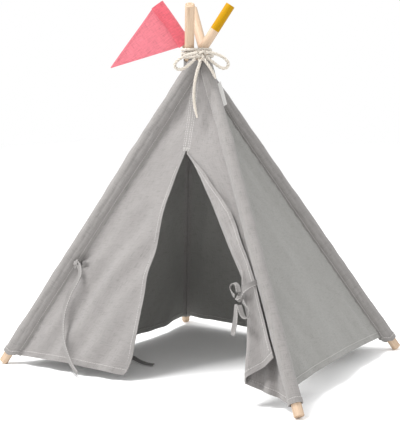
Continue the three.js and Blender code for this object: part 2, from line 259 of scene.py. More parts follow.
def axis_at(corner, height):
    return pole_point(corner, reach_at(corner, height))


def face_normal(side):
    left, right = SIDES[side]
    across = FOOT[right] - FOOT[left]
    rise = axis_at(left, HIGH_ON_POLES) + axis_at(right, HIGH_ON_POLES) - FOOT[left] - FOOT[right]
    return unit(np.cross(across, rise))


OUTWARD = {side: face_normal(side) for side in SIDES}


def side_between(corner, neighbour):
    return next(side for side, pair in SIDES.items() if {corner, neighbour} == set(pair))


def towards_neighbour(corner, neighbour, reach):
    """Across the cloth from a pole, square to it, and how far away the other pole is."""
    middle = pole_point(corner, reach)
    across = axis_at(neighbour, middle[..., 2]) - middle
    gap = np.linalg.norm(across, axis=-1, keepdims=True)
    lengthways = (across @ ALONG[corner])[..., None] * ALONG[corner]
    return unit(across - lengthways), gap


def seam_point(corner, neighbour, reach):
    """Where the cloth towards a neighbouring pole is sewn to a pole's sleeve."""
    reach = np.asarray(reach, float)
    towards, gap = towards_neighbour(corner, neighbour, reach)
    wide = corner == "front_left" and neighbour == "front_right"
    offset = WIDE_SEAM_OFFSET if wide else SEAM_OFFSET
    offset = np.minimum(offset, gap / 2 - SEAM_CLEARANCE)
    level = SEAM_LEVEL * smooth((SLEEVE_END - reach) / TOP_EASE)[..., None]
    outward = OUTWARD[side_between(corner, neighbour)]
    return pole_point(corner, reach) + towards * offset + outward * level


def front_at(across, height, outwards=0.0):
    """Points of the front, by distance from its middle, height and distance out of it."""
    across, height = np.broadcast_arrays(np.asarray(across, float), np.asarray(height, float))
    left = axis_at("front_left", height)
    right = axis_at("front_right", height)
    width = np.linalg.norm(right - left, axis=-1)
    share = (0.5 + across / width)[..., None]
    out = np.multiply.outer(np.broadcast_to(outwards, across.shape), OUTWARD["front"])
    return lerp(left, right, share) + out


FRONT_ACROSS = unit(FOOT["front_right"] - FOOT["front_left"])
FRONT_RISE = np.cross(OUTWARD["front"], FRONT_ACROSS)

# ---- Meshes --------------------------------------------------------------------------------------


class Shape:
    """Points, faces, blend weights, cloth coordinates and finishes gathered for one mesh."""

    def __init__(self):
        self.points = []
        self.faces = []
        self.weights = []
        self.uvs = []
        self.finishes = []
        self.count = 0

    def add(self, points, faces, weights=0.0, uvs=None, finish=0):
        points = np.asarray(points, float).reshape(-1, 3)
        faces = np.asarray(faces, int)
        self.points.append(points)
        self.faces.extend((faces + self.count).tolist())
        self.weights.append(np.broadcast_to(np.ravel(weights), (len(points),)))
        self.uvs.append(np.zeros((len(points), 2)) if uvs is None else np.reshape(uvs, (-1, 2)))
        self.finishes.extend([finish] * len(faces))
        self.count += len(points)

    def make(self, node, materials, sharp_degrees=38):
        """The mesh as an object, named after the frame's node that it stands for."""
        name = f"{node}_look"
        mesh = bpy.data.meshes.new(name)
        mesh.from_pydata((np.vstack(self.points) * MM).tolist(), [], self.faces)
        for material in materials:
            mesh.materials.append(material)
        mesh.polygons.foreach_set("material_index", self.finishes)
        corners = np.zeros(len(mesh.loops), int)
        mesh.loops.foreach_get("vertex_index", corners)
        layer = mesh.uv_layers.new(name="cloth")
        layer.data.foreach_set("uv", (np.vstack(self.uvs) * MM)[corners].ravel())
        work = bmesh.new()
        work.from_mesh(mesh)
        bmesh.ops.recalc_face_normals(work, faces=work.faces)
        work.to_mesh(mesh)
        work.free()
        mesh.shade_smooth()
        mesh.set_sharp_from_angle(angle=math.radians(sharp_degrees))
        obj = bpy.data.objects.new(name, mesh)
        bpy.context.scene.collection.objects.link(obj)
        return obj


def net_faces(index, wrap_rows=False, wrap_columns=False):
    """Quads of a net of point numbers."""
    if wrap_rows:
        index = np.vstack([index, index[:1]])
    if wrap_columns:
        index = np.hstack([index, index[:, :1]])
    quads = [index[:-1, :-1], index[:-1, 1:], index[1:, 1:], index[1:, :-1]]
    return np.stack(quads, axis=-1).reshape(-1, 4)


def net_normals(net, outward):
    normals = unit(np.cross(np.gradient(net, axis=1), np.gradient(net, axis=0)))
    middle = normals[len(normals) // 2].mean(axis=0)
    return normals if middle @ outward > 0 else -normals


def add_cloth(shape, net, normals, thickness, weights, uvs, finish=0):
    """A closed two-sided cloth around a net of its middle surface."""
    rows, columns = net.shape[:2]
    half = np.broadcast_to(thickness, (rows, columns))[..., None] / 2
    front = np.arange(rows * columns).reshape(rows, columns)
    back = front + rows * columns
    rim = np.concatenate([front[0, :-1], front[:-1, -1], front[-1, :0:-1], front[:0:-1, 0]])
    rim_faces = net_faces(np.vstack([rim, rim + rows * columns]), wrap_columns=True)
    faces = np.vstack([net_faces(front), net_faces(back[:, ::-1]), rim_faces])
    points = np.stack([net + normals * half, net - normals * half])
    both = np.broadcast_to(weights, (rows, columns))
    shape.add(points, faces, np.stack([both, both]), np.stack([uvs, uvs]), finish)


def add_tube(shape, rings, closed=False, weights=0.0, uvs=None, finish=0):
    """A tube through rings of points: capped at its ends, or closed on itself."""
    count, sides = rings.shape[:2]
    index = np.arange(count * sides).reshape(count, sides)
    faces = net_faces(index, wrap_rows=closed, wrap_columns=True)
    shape.add(rings, faces, weights, uvs, finish)
    if closed:
        return
    offset = shape.count - count * sides
    for ring, order in ((0, -1), (count - 1, 1)):
        shape.faces.append((index[ring] + offset)[::order].tolist())
        shape.finishes.append(finish)


def add_stitches(shape, line, normals, weights=0.0, finish=1):
    """A row of thread along a line that lies on the cloth."""
    reach = reach_along(line)
    starts = np.arange(STITCH_PITCH / 2, reach[-1] - STITCH_LENGTH, STITCH_PITCH)
    if not len(starts):
        return
    weights = np.broadcast_to(weights, (len(line),))

    def read(values, at):
        return np.stack([np.interp(at, reach, values[:, k]) for k in range(3)], axis=-1)

    sections = []
    for share, width, height in STITCH_SECTIONS:
        at = starts + share * STITCH_LENGTH
        middle = read(line, at)
        normal = unit(read(normals, at))
        ahead = unit(read(line, at + 0.4) - read(line, at - 0.4))
        side = np.cross(ahead, normal)
        low = middle - normal * STITCH_DEPTH
        high = middle + normal * height
        corners = [low - side * width, low + side * width, high + side * width, high - side * width]
        sections.append(np.stack(corners, axis=1))
    points = np.stack(sections, axis=1)
    pattern = net_faces(np.arange(16).reshape(4, 4), wrap_columns=True).tolist()
    pattern += [[3, 2, 1, 0], [12, 13, 14, 15]]
    faces = np.array(pattern)[None] + 16 * np.arange(len(starts))[:, None, None]
    each = np.repeat(np.interp(starts, reach, weights), 16)
    shape.add(points, faces.reshape(-1, 4), each, None, finish)


def stitch_both_faces(shape, line, normals, lift, weights=0.0):
    """The same row of stitches on both faces of a cloth, each lifted from its middle surface."""
    for face in (1, -1):
        out = normals * face
        add_stitches(shape, line + out * lift, out, weights)


def dress(piece, body, node=None):
    """What a piece rides on, and the frame's node that it stands for."""
    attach(piece, body)
    if node:
        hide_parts(node)


def set_blend(obj, first, second, weights):
    """Bakes obj's placement into its mesh; the two bodies and the weight for each point (0 for the first
    body) are not used.
    """
    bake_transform(obj)


def dress_bent(piece, shape, bodies, node):
    """Bakes a piece's placement into its mesh and hides the frame's node that it stands for; the bodies
    and its shape's weights go to set_blend, which does not use them.
    """
    set_blend(piece, *bodies, np.concatenate(shape.weights))
    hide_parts(node)


def rows_from_hem(length, step, hem=HEM):
    """Shares of the way up a cloth, with rows on both sides of the top of its hem."""
    band = np.array([0, 0.33, 0.66, 0.97, 1.05]) * hem
    count = max(2, int((length - 1.5 * hem) / step))
    return np.concatenate([band, np.linspace(1.5 * hem, length, count)]) / length


def hem_thickness(shares, length, hem=HEM):
    """A column with the cloth's thickness in each row, doubled over in the hem."""
    return np.where(shares * length <= hem, HEM_THICKNESS, CLOTH)[:, None]


def hemmed_flap_thickness(shares, length, from_edge):
    """A flap is doubled over along its hem and along its upright edge."""
    return np.maximum(hem_thickness(shares, length), np.where(from_edge < EDGE_HEM, EDGE_THICKNESS, CLOTH))


def hem_seam_row(shares, length):
    return np.argmin(np.abs(shares * length - HEM * HEM_SEAM_SHARE))


def stitch_flap(shape, flap, normals, hem_row, last, from_edge, weights):
    """The stitches of a flap's hem and of its upright edge, on both faces."""
    stitch_both_faces(shape, flap[hem_row], normals[hem_row], HEM_THICKNESS / 2, weights[hem_row])
    tall = slice(hem_row + 2, last - 3)
    inset = unit(flap[tall, -1] - flap[tall, -2]) * from_edge
    edge = flap[tall, -1] - inset
    stitch_both_faces(shape, edge, normals[tall, -1], EDGE_THICKNESS / 2, weights[tall, -1])


def flat_coordinates(shares, length, sideways):
    """Where each point of a net lies in the flat cloth."""
    return np.stack([sideways, np.broadcast_to((shares * length)[:, None], sideways.shape)], axis=-1)


# ---- Materials -----------------------------------------------------------------------------------


class Nodes:
    """A material's node tree, with short ways to add to it."""

    def __init__(self, name):
        self.material = bpy.data.materials.new(name)
        self.material.use_nodes = True
        self.tree = self.material.node_tree
        self.tree.nodes.clear()
        self.shader = self.add("ShaderNodeBsdfPrincipled")
        output = self.add("ShaderNodeOutputMaterial")
        self.link(self.shader.outputs["BSDF"], output.inputs["Surface"])

    def add(self, kind, **values):
        node = self.tree.nodes.new(kind)
        for key, value in values.items():
            if key in node.inputs:
                node.inputs[key].default_value = value
            else:
                setattr(node, key, value)
        return node

    def link(self, start, end):
        self.tree.links.new(start, end)

    def coordinates(self, output, scale=(1, 1, 1), turn=(0, 0, 0)):
        source = self.add("ShaderNodeTexCoord")
        mapping = self.add("ShaderNodeMapping", Scale=scale, Rotation=turn)
        self.link(source.outputs[output], mapping.inputs["Vector"])
        return mapping.outputs["Vector"]

    def noise(self, vector, scale, detail=3.0, roughness=0.55):
        node = self.add("ShaderNodeTexNoise", Scale=scale, Detail=detail, Roughness=roughness)
        self.link(vector, node.inputs["Vector"])
        return node.outputs["Fac"]

    def bands(self, vector, pitch, direction, distortion=0.0):
        """Rounded bands, pitch metres apart."""
        node = self.add(
            "ShaderNodeTexWave",
            Scale=2 * math.pi / (20 * pitch),
            Distortion=distortion,
            bands_direction=direction,
        )
        node.inputs["Detail Scale"].default_value = 2.0
        self.link(vector, node.inputs["Vector"])
        return node.outputs["Fac"]

    def ramp(self, factor, low, high, start=0.0, end=1.0):
        node = self.add("ShaderNodeValToRGB")
        node.color_ramp.elements[0].position = start
        node.color_ramp.elements[0].color = (*low, 1)
        node.color_ramp.elements[1].position = end
        node.color_ramp.elements[1].color = (*high, 1)
        self.link(factor, node.inputs["Fac"])
        return node.outputs["Color"]

    def maths(self, operation, first, second):
        node = self.add("ShaderNodeMath", operation=operation)
        self.link(first, node.inputs[0])
        self.link(second, node.inputs[1])
        return node.outputs[0]

    def multiply(self, first, second):
        node = self.add("ShaderNodeMix", data_type="RGBA", blend_type="MULTIPLY")
        node.inputs[0].default_value = 1.0
        self.link(first, node.inputs[6])
        self.link(second, node.inputs[7])
        return node.outputs[2]

    def bump(self, height, distance, strength, before=None):
        node = self.add("ShaderNodeBump", Distance=distance, Strength=strength)
        self.link(height, node.inputs["Height"])
        if before is not None:
            self.link(before, node.inputs["Normal"])
        return node.outputs["Normal"]

    def finish(self, colour, roughness, normal=None, sheen=0.0):
        self.link(colour, self.shader.inputs["Base Color"])
        self.shader.inputs["Roughness"].default_value = roughness
        if sheen:
            self.shader.inputs["Sheen Weight"].default_value = sheen
            self.shader.inputs["Sheen Roughness"].default_value = 0.6
        if normal is not None:
            self.link(normal, self.shader.inputs["Normal"])
        return self.material


def shade(colour, factor):
    return tuple(channel * factor for channel in colour)


def woven(name, colour, pitch, contrast, creases, slubs=0.0):
    """Plain weave with soft creases; colour is linear, pitch the distance between threads."""
    nodes = Nodes(name)
    flat = nodes.coordinates("UV")
    warp = nodes.bands(flat, pitch, "X", 0.6)
    weft = nodes.bands(flat, pitch * 1.12, "Y", 0.6)
    weave = nodes.maths("MULTIPLY", warp, weft)
    threads = nodes.coordinates("UV", scale=(1, 0.06, 1))
    across = nodes.coordinates("UV", scale=(0.06, 1, 1))
    streaks = nodes.maths("ADD", nodes.noise(threads, 900.0), nodes.noise(across, 900.0))
    tone = nodes.ramp(streaks, shade(colour, 1 - contrast), shade(colour, 1 + contrast), 0.7, 1.3)
    cells = nodes.ramp(weave, (0.86, 0.86, 0.86), (1.0, 1.0, 1.0), 0.0, 0.5)
    mottle = nodes.noise(flat, 9.0, 4.0)
    cloud = nodes.ramp(mottle, (0.95, 0.95, 0.95), (1.03, 1.03, 1.03), 0.3, 0.7)
    base = nodes.multiply(nodes.multiply(tone, cells), cloud)
    if slubs:
        lumps = nodes.noise(nodes.coordinates("UV", scale=(0.16, 1.6, 1)), 420.0, 2.0)
        spots = nodes.ramp(lumps, shade((1, 1, 1), 1 - slubs), (1.06, 1.06, 1.06), 0.35, 0.65)
        base = nodes.multiply(base, spots)
    crumple = nodes.bump(nodes.noise(flat, 16.0, 2.0, 0.45), 0.004, creases)
    normal = nodes.bump(weave, 0.00022, 0.7, crumple)
    return nodes.finish(base, 0.92, normal, sheen=0.15)


def make_wood():
    nodes = Nodes("pine")
    along = nodes.coordinates("Object", scale=(1, 1, 0.045), turn=(0.04, 0.03, 0))
    rings = nodes.add("ShaderNodeTexWave", wave_type="RINGS", rings_direction="Z")
    rings.inputs["Scale"].default_value = 62.0
    rings.inputs["Distortion"].default_value = 3.2
    rings.inputs["Detail"].default_value = 2.0
    rings.inputs["Detail Scale"].default_value = 1.4
    nodes.link(along, rings.inputs["Vector"])
    grain = nodes.ramp(rings.outputs["Fac"], (0.56, 0.42, 0.30), (0.385, 0.255, 0.162), 0.2, 1.0)
    fibres = nodes.noise(nodes.coordinates("Object", scale=(1, 1, 0.02)), 1600.0, 2.0)
    lines = nodes.ramp(fibres, (0.76, 0.73, 0.70), (1.06, 1.06, 1.06), 0.3, 0.7)
    colour = nodes.multiply(grain, lines)
    return nodes.finish(colour, 0.55, nodes.bump(fibres, 0.0002, 0.35))


def make_paint():
    nodes = Nodes("yellow_paint")
    brushed = nodes.noise(nodes.coordinates("Object", scale=(1, 1, 0.05)), 700.0, 2.0)
    colour = nodes.ramp(brushed, (0.37, 0.192, 0.0004), (0.45, 0.24, 0.0006), 0.3, 0.7)
    nodes.shader.inputs["Specular IOR Level"].default_value = 0.12
    return nodes.finish(colour, 0.5, nodes.bump(brushed, 0.0002, 0.2))


def make_rope():
    nodes = Nodes("cotton_rope")
    fibres = nodes.noise(nodes.coordinates("UV", scale=(1, 0.12, 1)), 2400.0, 3.0)
    blotches = nodes.noise(nodes.coordinates("UV"), 60.0, 2.0)
    colour = nodes.multiply(
        nodes.ramp(fibres, (0.42, 0.375, 0.315), (0.74, 0.69, 0.62), 0.3, 0.62),
        nodes.ramp(blotches, (0.92, 0.91, 0.9), (1.0, 1.0, 1.0), 0.35, 0.65),
    )
    return nodes.finish(colour, 0.95, nodes.bump(fibres, 0.0006, 0.8), sheen=0.2)


def make_thread(name, low, high):
    nodes = Nodes(name)
    twist = nodes.noise(nodes.coordinates("Object"), 3000.0, 1.0)
    return nodes.finish(nodes.ramp(twist, low, high, 0.35, 0.65), 0.7)


CANVAS_THREADS = 0.0010  # metres from one thread of the weave to the next
FLAG_THREADS = 0.0013
LABEL_THREADS = 0.0006

CANVAS = woven("grey_canvas", (0.224, 0.212, 0.206), CANVAS_THREADS, 0.22, 0.45)
SIDE_CANVAS = woven("side_canvas", (0.216, 0.213, 0.201), CANVAS_THREADS, 0.20, 0.35)
SLEEVE_CANVAS = woven("sleeve_canvas", (0.216, 0.205, 0.198), CANVAS_THREADS, 0.22, 0.6)
TAPE = woven("cloth_tape", (0.204, 0.194, 0.188), CANVAS_THREADS, 0.18, 0.3)
PINK = woven("pink_cotton", (0.62, 0.162, 0.200), FLAG_THREADS, 0.24, 0.24, slubs=0.12)
PINK_SLEEVE = woven("pink_sleeve", (0.62, 0.102, 0.135), FLAG_THREADS, 0.24, 0.4, slubs=0.2)
LABEL_CLOTH = woven("white_label", (0.78, 0.77, 0.75), LABEL_THREADS, 0.05, 0.05)
THREAD = make_thread("grey_thread", (0.46, 0.45, 0.43), (0.62, 0.60, 0.58))
PINK_THREAD = make_thread("pink_thread", (0.5, 0.09, 0.12), (0.64, 0.15, 0.19))
WHITE_THREAD = make_thread("white_thread", (0.5, 0.49, 0.48), (0.62, 0.61, 0.6))
WOOD = make_wood()
PAINT = make_paint()
ROPE_FIBRE = make_rope()

# ---- Poles ---------------------------------------------------------------------------------------

POLE_SIDES = 64


def pole_profile():
    """Radius and distance along the pole, with rounded ends and a row where the paint stops."""
    turns = np.linspace(0, math.pi / 2, 6)
    inner = POLE_RADIUS - POLE_ROUNDING
    low = [(inner + POLE_ROUNDING * math.sin(t), POLE_ROUNDING * (1 - math.cos(t))) for t in turns]
    high = [(radius, POLE_LENGTH - along) for radius, along in reversed(low)]
    body = [(POLE_RADIUS, along) for along in np.linspace(40, POLE_LENGTH - PAINT_LENGTH, 24)]
    return [(inner * 0.5, 0.0), *low, *body, *high, (inner * 0.5, POLE_LENGTH)]


def make_pole(corner):
    circle = directions(circle_angles(POLE_SIDES), np.array([1.0, 0, 0]), np.array([0, 1.0, 0]))
    rings = np.array([circle * radius + (0, 0, along) for radius, along in pole_profile()])
    shape = Shape()
    add_tube(shape, rings)
    painted = corner == "front_left"
    if painted:
        heights = rings.reshape(-1, 3)[:, 2]
        paint_start = POLE_LENGTH - PAINT_LENGTH - 0.1
        shape.finishes = [int(min(heights[point] for point in face) > paint_start) for face in shape.faces]
    pole = shape.make(f"pole_{corner}", [WOOD, PAINT] if painted else [WOOD])
    turn = Vector((0, 0, 1)).rotation_difference(Vector(ALONG[corner])).to_matrix().to_4x4()
    pole.matrix_world = Matrix.Translation(FOOT[corner] * MM) @ turn
    dress(pole, f"leg_{corner}", f"pole_{corner}")


for corner_name in CORNERS:
    make_pole(corner_name)

# ---- Sleeves -------------------------------------------------------------------------------------

SLEEVE_INSIDE = 12
SLEEVE_OUTSIDE = 48
GROOVE_HALF_WIDTH = 1.3  # of the crease at a corner inside the tent
GROOVE_DEPTH = 3.5
SLEEVE_BULGE = 2.2  # of the loose cloth between the wood and a seam
# How far a sleeve's seams start above its round part.
SLEEVE_LIFT = {"front_left": 9.0, "front_right": 2.0, "rear_right": 9.0, "rear_left": 7.0}
SLEEVE_LIFT_REACH = 60.0
SLEEVE_STEP = 6.0
SLEEVE_NARROWING = 0.8  # towards its top
SLEEVE_WEAVE = 1.25  # of flat cloth, from one point round a sleeve to the next
SEED_STEP = 7.3  # so that no two sleeves are loose in the same way


def hull_radius(angles, radius, points):
    """How far cloth drawn round a circle and over points beside it lies from the middle, by angle."""
    best = np.full(len(angles), radius)
    polar = [(math.hypot(*p), math.atan2(p[1], p[0])) for p in points]
    for distance, direction in polar:
        if distance <= radius:
            continue
        spread = math.acos(radius / distance)
        away = np.abs((angles - direction + math.pi) % (2 * math.pi) - math.pi)
        slanted = radius / np.cos(np.clip(spread - away, 0, 1.5))
        room = min(1.0, (distance - radius) / 5)
        bulge = SLEEVE_BULGE * np.sin(math.pi * np.clip(away / spread, 0, 1)) * room
        best = np.where(away < spread, np.maximum(best, slanted + bulge), best)
    return best


def sleeve_ring(corner, neighbours, reach, seed):
    """One cross-section of the cloth round a pole, from one seam round to the other."""
    middle = pole_point(corner, reach)
    seams = [seam_point(corner, neighbour, reach) - middle for neighbour in neighbours]
    first = unit(seams[0] - (seams[0] @ ALONG[corner]) * ALONG[corner])
    second = np.cross(ALONG[corner], first)
    flat = [(seam @ first, seam @ second) for seam in seams]
    ends = [math.atan2(y, x) for x, y in flat]
    inside = (ends[1] - ends[0] + math.pi) % (2 * math.pi) - math.pi
    outside = inside - math.copysign(2 * math.pi, inside)
    turns_inside = ends[0] + inside * np.arange(SLEEVE_INSIDE) / SLEEVE_INSIDE
    turns_outside = ends[0] + inside - outside * np.arange(SLEEVE_OUTSIDE) / SLEEVE_OUTSIDE
    turns = np.concatenate([turns_inside, turns_outside])
    narrow = lerp(SLEEVE_RADIUS, SLEEVE_RADIUS - SLEEVE_NARROWING, smooth((reach - 520) / 150))
    radii = hull_radius(turns, narrow, flat)
    rim = directions(turns, first, second)
    loose = ripple(middle + rim * 30, 26.0, seed) * 1.1 + ripple(middle + rim * 14, 75.0, seed) * 1.3
    steps = np.arange(len(turns))
    between = steps < SLEEVE_INSIDE
    slack = np.clip(np.minimum(steps - SLEEVE_INSIDE, len(turns) - steps) / 4, 0, 1)
    points = rim * (radii + np.maximum(loose, -0.5) * slack)[:, None]
    ways = [towards_neighbour(corner, neighbour, reach)[0] for neighbour in neighbours]
    corner_line = inner_corner(flat, [(way @ first, way @ second) for way in ways])
    corner_line = corner_line[:, :1] * first + corner_line[:, 1:] * second
    reached = np.linalg.norm(corner_line, axis=1, keepdims=True)
    points[between] = corner_line * np.maximum(1, (POLE_RADIUS + 0.5) / reached)
    return unit(points), middle + points


def inner_corner(seams, ways):
    """The cloths of both sides inside the pole, from one seam to their corner and to the other."""
    first, second = np.array(seams)
    way, other_way = np.array(ways)
    back = np.linalg.solve(np.column_stack([way, -other_way]), first - second)
    corner = first - way * max(back[0], 0.0)
    half = SLEEVE_INSIDE // 2
    before, after = (
        min(0.4, GROOVE_HALF_WIDTH / np.linalg.norm(corner - end)) for end in (first, second)
    )
    bottom = corner * (1 - GROOVE_DEPTH / np.linalg.norm(corner))
    one_side = lerp(first, corner, np.linspace(0, 1 - before, half)[:, None])
    other_side = lerp(corner, second, np.linspace(after, 1, half)[:-1, None])
    return np.vstack([one_side, bottom, other_side])


def make_sleeve(corner):
    at = CORNERS.index(corner)
    neighbours = [CORNERS[at - 1], CORNERS[(at + 1) % 4]]
    length = SLEEVE_END - SLEEVE_START
    shares = rows_from_hem(length, SLEEVE_STEP, SLEEVE_HEM)
    thickness = hem_thickness(shares, length, SLEEVE_HEM)[:, 0]
    outer, inner, uvs, rims = [], [], [], []
    for share, thick in zip(shares, thickness):
        reach = SLEEVE_START + share * length
        rim, ring = sleeve_ring(corner, neighbours, reach, at * SEED_STEP)
        from_pole = np.linalg.norm(ring - pole_point(corner, reach), axis=1)
        outer_part = np.clip((from_pole - SLEEVE_RADIUS) / (SEAM_OFFSET - SLEEVE_RADIUS), 0, 1)
        lift = SLEEVE_LIFT[corner] * outer_part * (1 - smooth((reach - SLEEVE_START) / SLEEVE_LIFT_REACH))
        ring = ring + lift[:, None] * ALONG[corner]
        inner.append(ring)
        outer.append(ring + rim * thick)
        rims.append(rim)
        around = np.arange(len(ring)) * SLEEVE_WEAVE
        uvs.append(np.column_stack([around, np.full(len(ring), reach)]))
    outer, inner, uvs, rims = (np.array(part) for part in (outer, inner, uvs, rims))
    shape = Shape()
    add_tube(shape, np.vstack([outer, inner[::-1]]), closed=True, uvs=np.vstack([uvs, uvs[::-1]]))
    for column in (-2, SLEEVE_INSIDE + 2):
        row = outer[4:, column] + rims[4:, column] * 0.05
        add_stitches(shape, row, rims[4:, column])
    hem_row = np.argmin(np.abs(shares * length - (SLEEVE_HEM - 1)))
    wrapped = np.concatenate([outer, outer[:, :1]], axis=1)
    wrapped_rims = np.concatenate([rims, rims[:, :1]], axis=1)
    add_stitches(shape, wrapped[hem_row, SLEEVE_INSIDE:], wrapped_rims[hem_row, SLEEVE_INSIDE:])
    sleeve = shape.make(f"pole_sleeve_{corner}", [SLEEVE_CANVAS, THREAD])
    dress(sleeve, f"leg_{corner}", f"pole_sleeve_{corner}")


for corner_name in CORNERS:
    make_sleeve(corner_name)

# ---- Closed sides of the cover -------------------------------------------------------------------

PANEL_COLUMNS = 72
SIDE_FOLDS = 0.4  # the closed sides are drawn tighter than the front
PANEL_STEP = 9.0
PUCKER_DEPTH = 0.9  # of the ripples beside a seam
PUCKER_PITCH = 24.0
PUCKER_REACH = 18.0  # away from the seam
FOLD_DEPTH = 4.2  # of the cloth's soft folds
FOLD_PITCH = 58.0
HEM_WAVE = 4.0  # of a closed side's hem, in and out


def puckers(reach, distance, seed):
    """Small ripples beside a seam, at distances along it and away from it."""
    wave = np.sin(2 * math.pi * reach / PUCKER_PITCH + 2.2 * np.sin(reach / 37 + seed) + seed)
    return PUCKER_DEPTH * wave * np.exp(-distance / PUCKER_REACH)


def surface_folds(net, seed, across_folds):
    """The cloth's own unevenness, with soft folds whose lines lie square to across_folds."""
    broad = 8.0 * ripple(net, 170.0, seed) + 3.6 * ripple(net, 75.0, seed + 3)
    bend = 22 * ripple(net, 190.0, seed + 12)
    strength = np.clip(ripple(net, 140.0, seed + 17) + 0.45, 0, 1)
    folds = FOLD_DEPTH * strength * np.sin((net @ across_folds + bend) * 2 * math.pi / FOLD_PITCH)
    return broad + 0.8 * ripple(net, 34.0, seed + 6) + folds


def side_net(side, seed, hems, sag, droop, belly):
    """The middle surface of a closed side; hems are its starts along its left and right poles."""
    left, right = SIDES[side]
    left_reach = np.array([hems[0], PANEL_END])
    right_reach = np.array([hems[1], PANEL_END])
    shares = rows_from_hem(PANEL_END - hems[1], PANEL_STEP)[:, None]
    across = np.linspace(0, 1, PANEL_COLUMNS + 1)[None]
    left_seam = seam_point(left, right, lerp(*left_reach, shares[:, 0]))[:, None]
    right_seam = seam_point(right, left, lerp(*right_reach, shares[:, 0]))[:, None]
    net = lerp(left_seam, right_seam, across[..., None])
    middle = 4 * across * (1 - across)
    low = (1 - shares) ** 2
    net = net - np.array([0, 0, 1.0]) * (droop * middle * low)[..., None]
    width = np.linalg.norm(left_seam - right_seam, axis=-1)
    nearest = np.minimum(across, 1 - across) * width
    inwards = sag * middle * np.sin(math.pi * np.clip(shares * 0.9 + 0.05, 0, 1))
    inside = -unit(OUTWARD[side] * (1, 1, 0))
    net = net + inside * (belly * np.sin(math.pi * across) ** 1.3 * low**1.5)[..., None]
    hanging = HEM_WAVE * np.sin(2 * math.pi * (2.4 * across + 0.13 * seed)) * middle * low**1.5
    pull = smooth(nearest / 50)
    reach = lerp(left_reach[0], PANEL_END, shares) + 0 * across
    level = unit(FOOT[right] - FOOT[left])
    folds = SIDE_FOLDS * surface_folds(net, seed, unit(level + (0, 0, 0.5)))
    offset = (folds + hanging - inwards) * pull + puckers(reach, nearest, seed)
    return net + OUTWARD[side] * offset[..., None], shares[:, 0], across[0], width[:, 0]


def make_side(side, seed, hems, sag, droop, belly):
    left, right = SIDES[side]
    net, shares, across, width = side_net(side, seed, hems, sag, droop, belly)
    normals = net_normals(net, OUTWARD[side])
    length = PANEL_END - hems[1]
    thickness = hem_thickness(shares, length)
    uvs = flat_coordinates(shares, length, np.outer(width, across - 0.5))
    from_pole = smooth(np.minimum(across, 1 - across) * 2)
    middle = PANEL_COLUMNS // 2
    hem_row = hem_seam_row(shares, length)
    for corner, columns in ((left, slice(0, middle + 1)), (right, slice(middle, None))):
        shape = Shape()
        half = net[:, columns]
        half_normals = normals[:, columns]
        weights = from_pole[columns]
        add_cloth(shape, half, half_normals, thickness, weights, uvs[:, columns])
        stitch_both_faces(shape, half[hem_row], half_normals[hem_row], HEM_THICKNESS / 2, weights)
        piece = shape.make(f"panel_{side}_at_{corner}", [SIDE_CANVAS, THREAD])
        dress_bent(piece, shape, (f"leg_{corner}", "cover"), f"panel_{side}")


make_side("right", 1.0, hems=(54, 42), sag=7, droop=-6, belly=0)
make_side("rear", 2.0, hems=(42, 31), sag=8, droop=6, belly=10)
make_side("left", 3.0, hems=(31, 34), sag=7, droop=6, belly=58)

# ---- Front, left half: the cloth and the flap that hangs free --------------------------------------

LEFT_COLUMNS = 52
FLAP_COLUMNS = 40
LEFT_HEM_ALONG = 32.0
LEFT_SEED = 5.0  # of the folds that run on from the cloth into its flap
BILLOW = 3.15  # how far the cloth hangs back between its seams
HOLLOW = (6.0, 24.0, 515.0)  # beside the centre seam: depth, distance from it, and height
FLAP_WAVE = 3.0  # of the free flap, in and out
FLAP_CURL = 0.05  # of its edge inwards, as a share of its width
PANEL_TOP = float(pole_point("front_left", PANEL_END)[2])


def front_level(heights):
    """The front cloth lies back from its poles, and comes level with them at the top."""
    return FRONT_LEVEL * smooth((SLEEVE_END - reach_at("front_left", heights)) / TOP_EASE)


def fold_point(heights):
    """The centre seam from the top to the slit, then the line that the free flap turns about."""
    low, high = np.array(FOLD_FOOT), np.array(SLIT_TOP)
    table = [(low[1], low[0]), (high[1], high[0]), (PANEL_TOP, SEAM_TOP_ACROSS)]
    return front_at(read_table(table, heights), heights, front_level(heights))


def front_offset(net, seed, pull):
    across_folds = unit(0.83 * FRONT_ACROSS - 0.55 * FRONT_RISE)
    return (surface_folds(net, seed, across_folds) * pull)[..., None] * OUTWARD["front"]


def tie_pucker(net, root, amount):
    """The pull of a sewn-on tie: a shallow hollow with creases that run from it."""
    away = net - root
    distance = np.linalg.norm(away, axis=-1)
    direction = np.arctan2(away @ FRONT_RISE, away @ FRONT_ACROSS)
    creases = np.sin(direction * 5 + 0.6) * np.exp(-distance / 55) * np.clip(distance / 14, 0, 1)
    return amount * (creases - 0.9 * np.exp(-((distance / 26) ** 2)))


OUTER_ROOT = front_at(-203.0, 210.0, 0.0)
TIE_PUCKER = 4.2


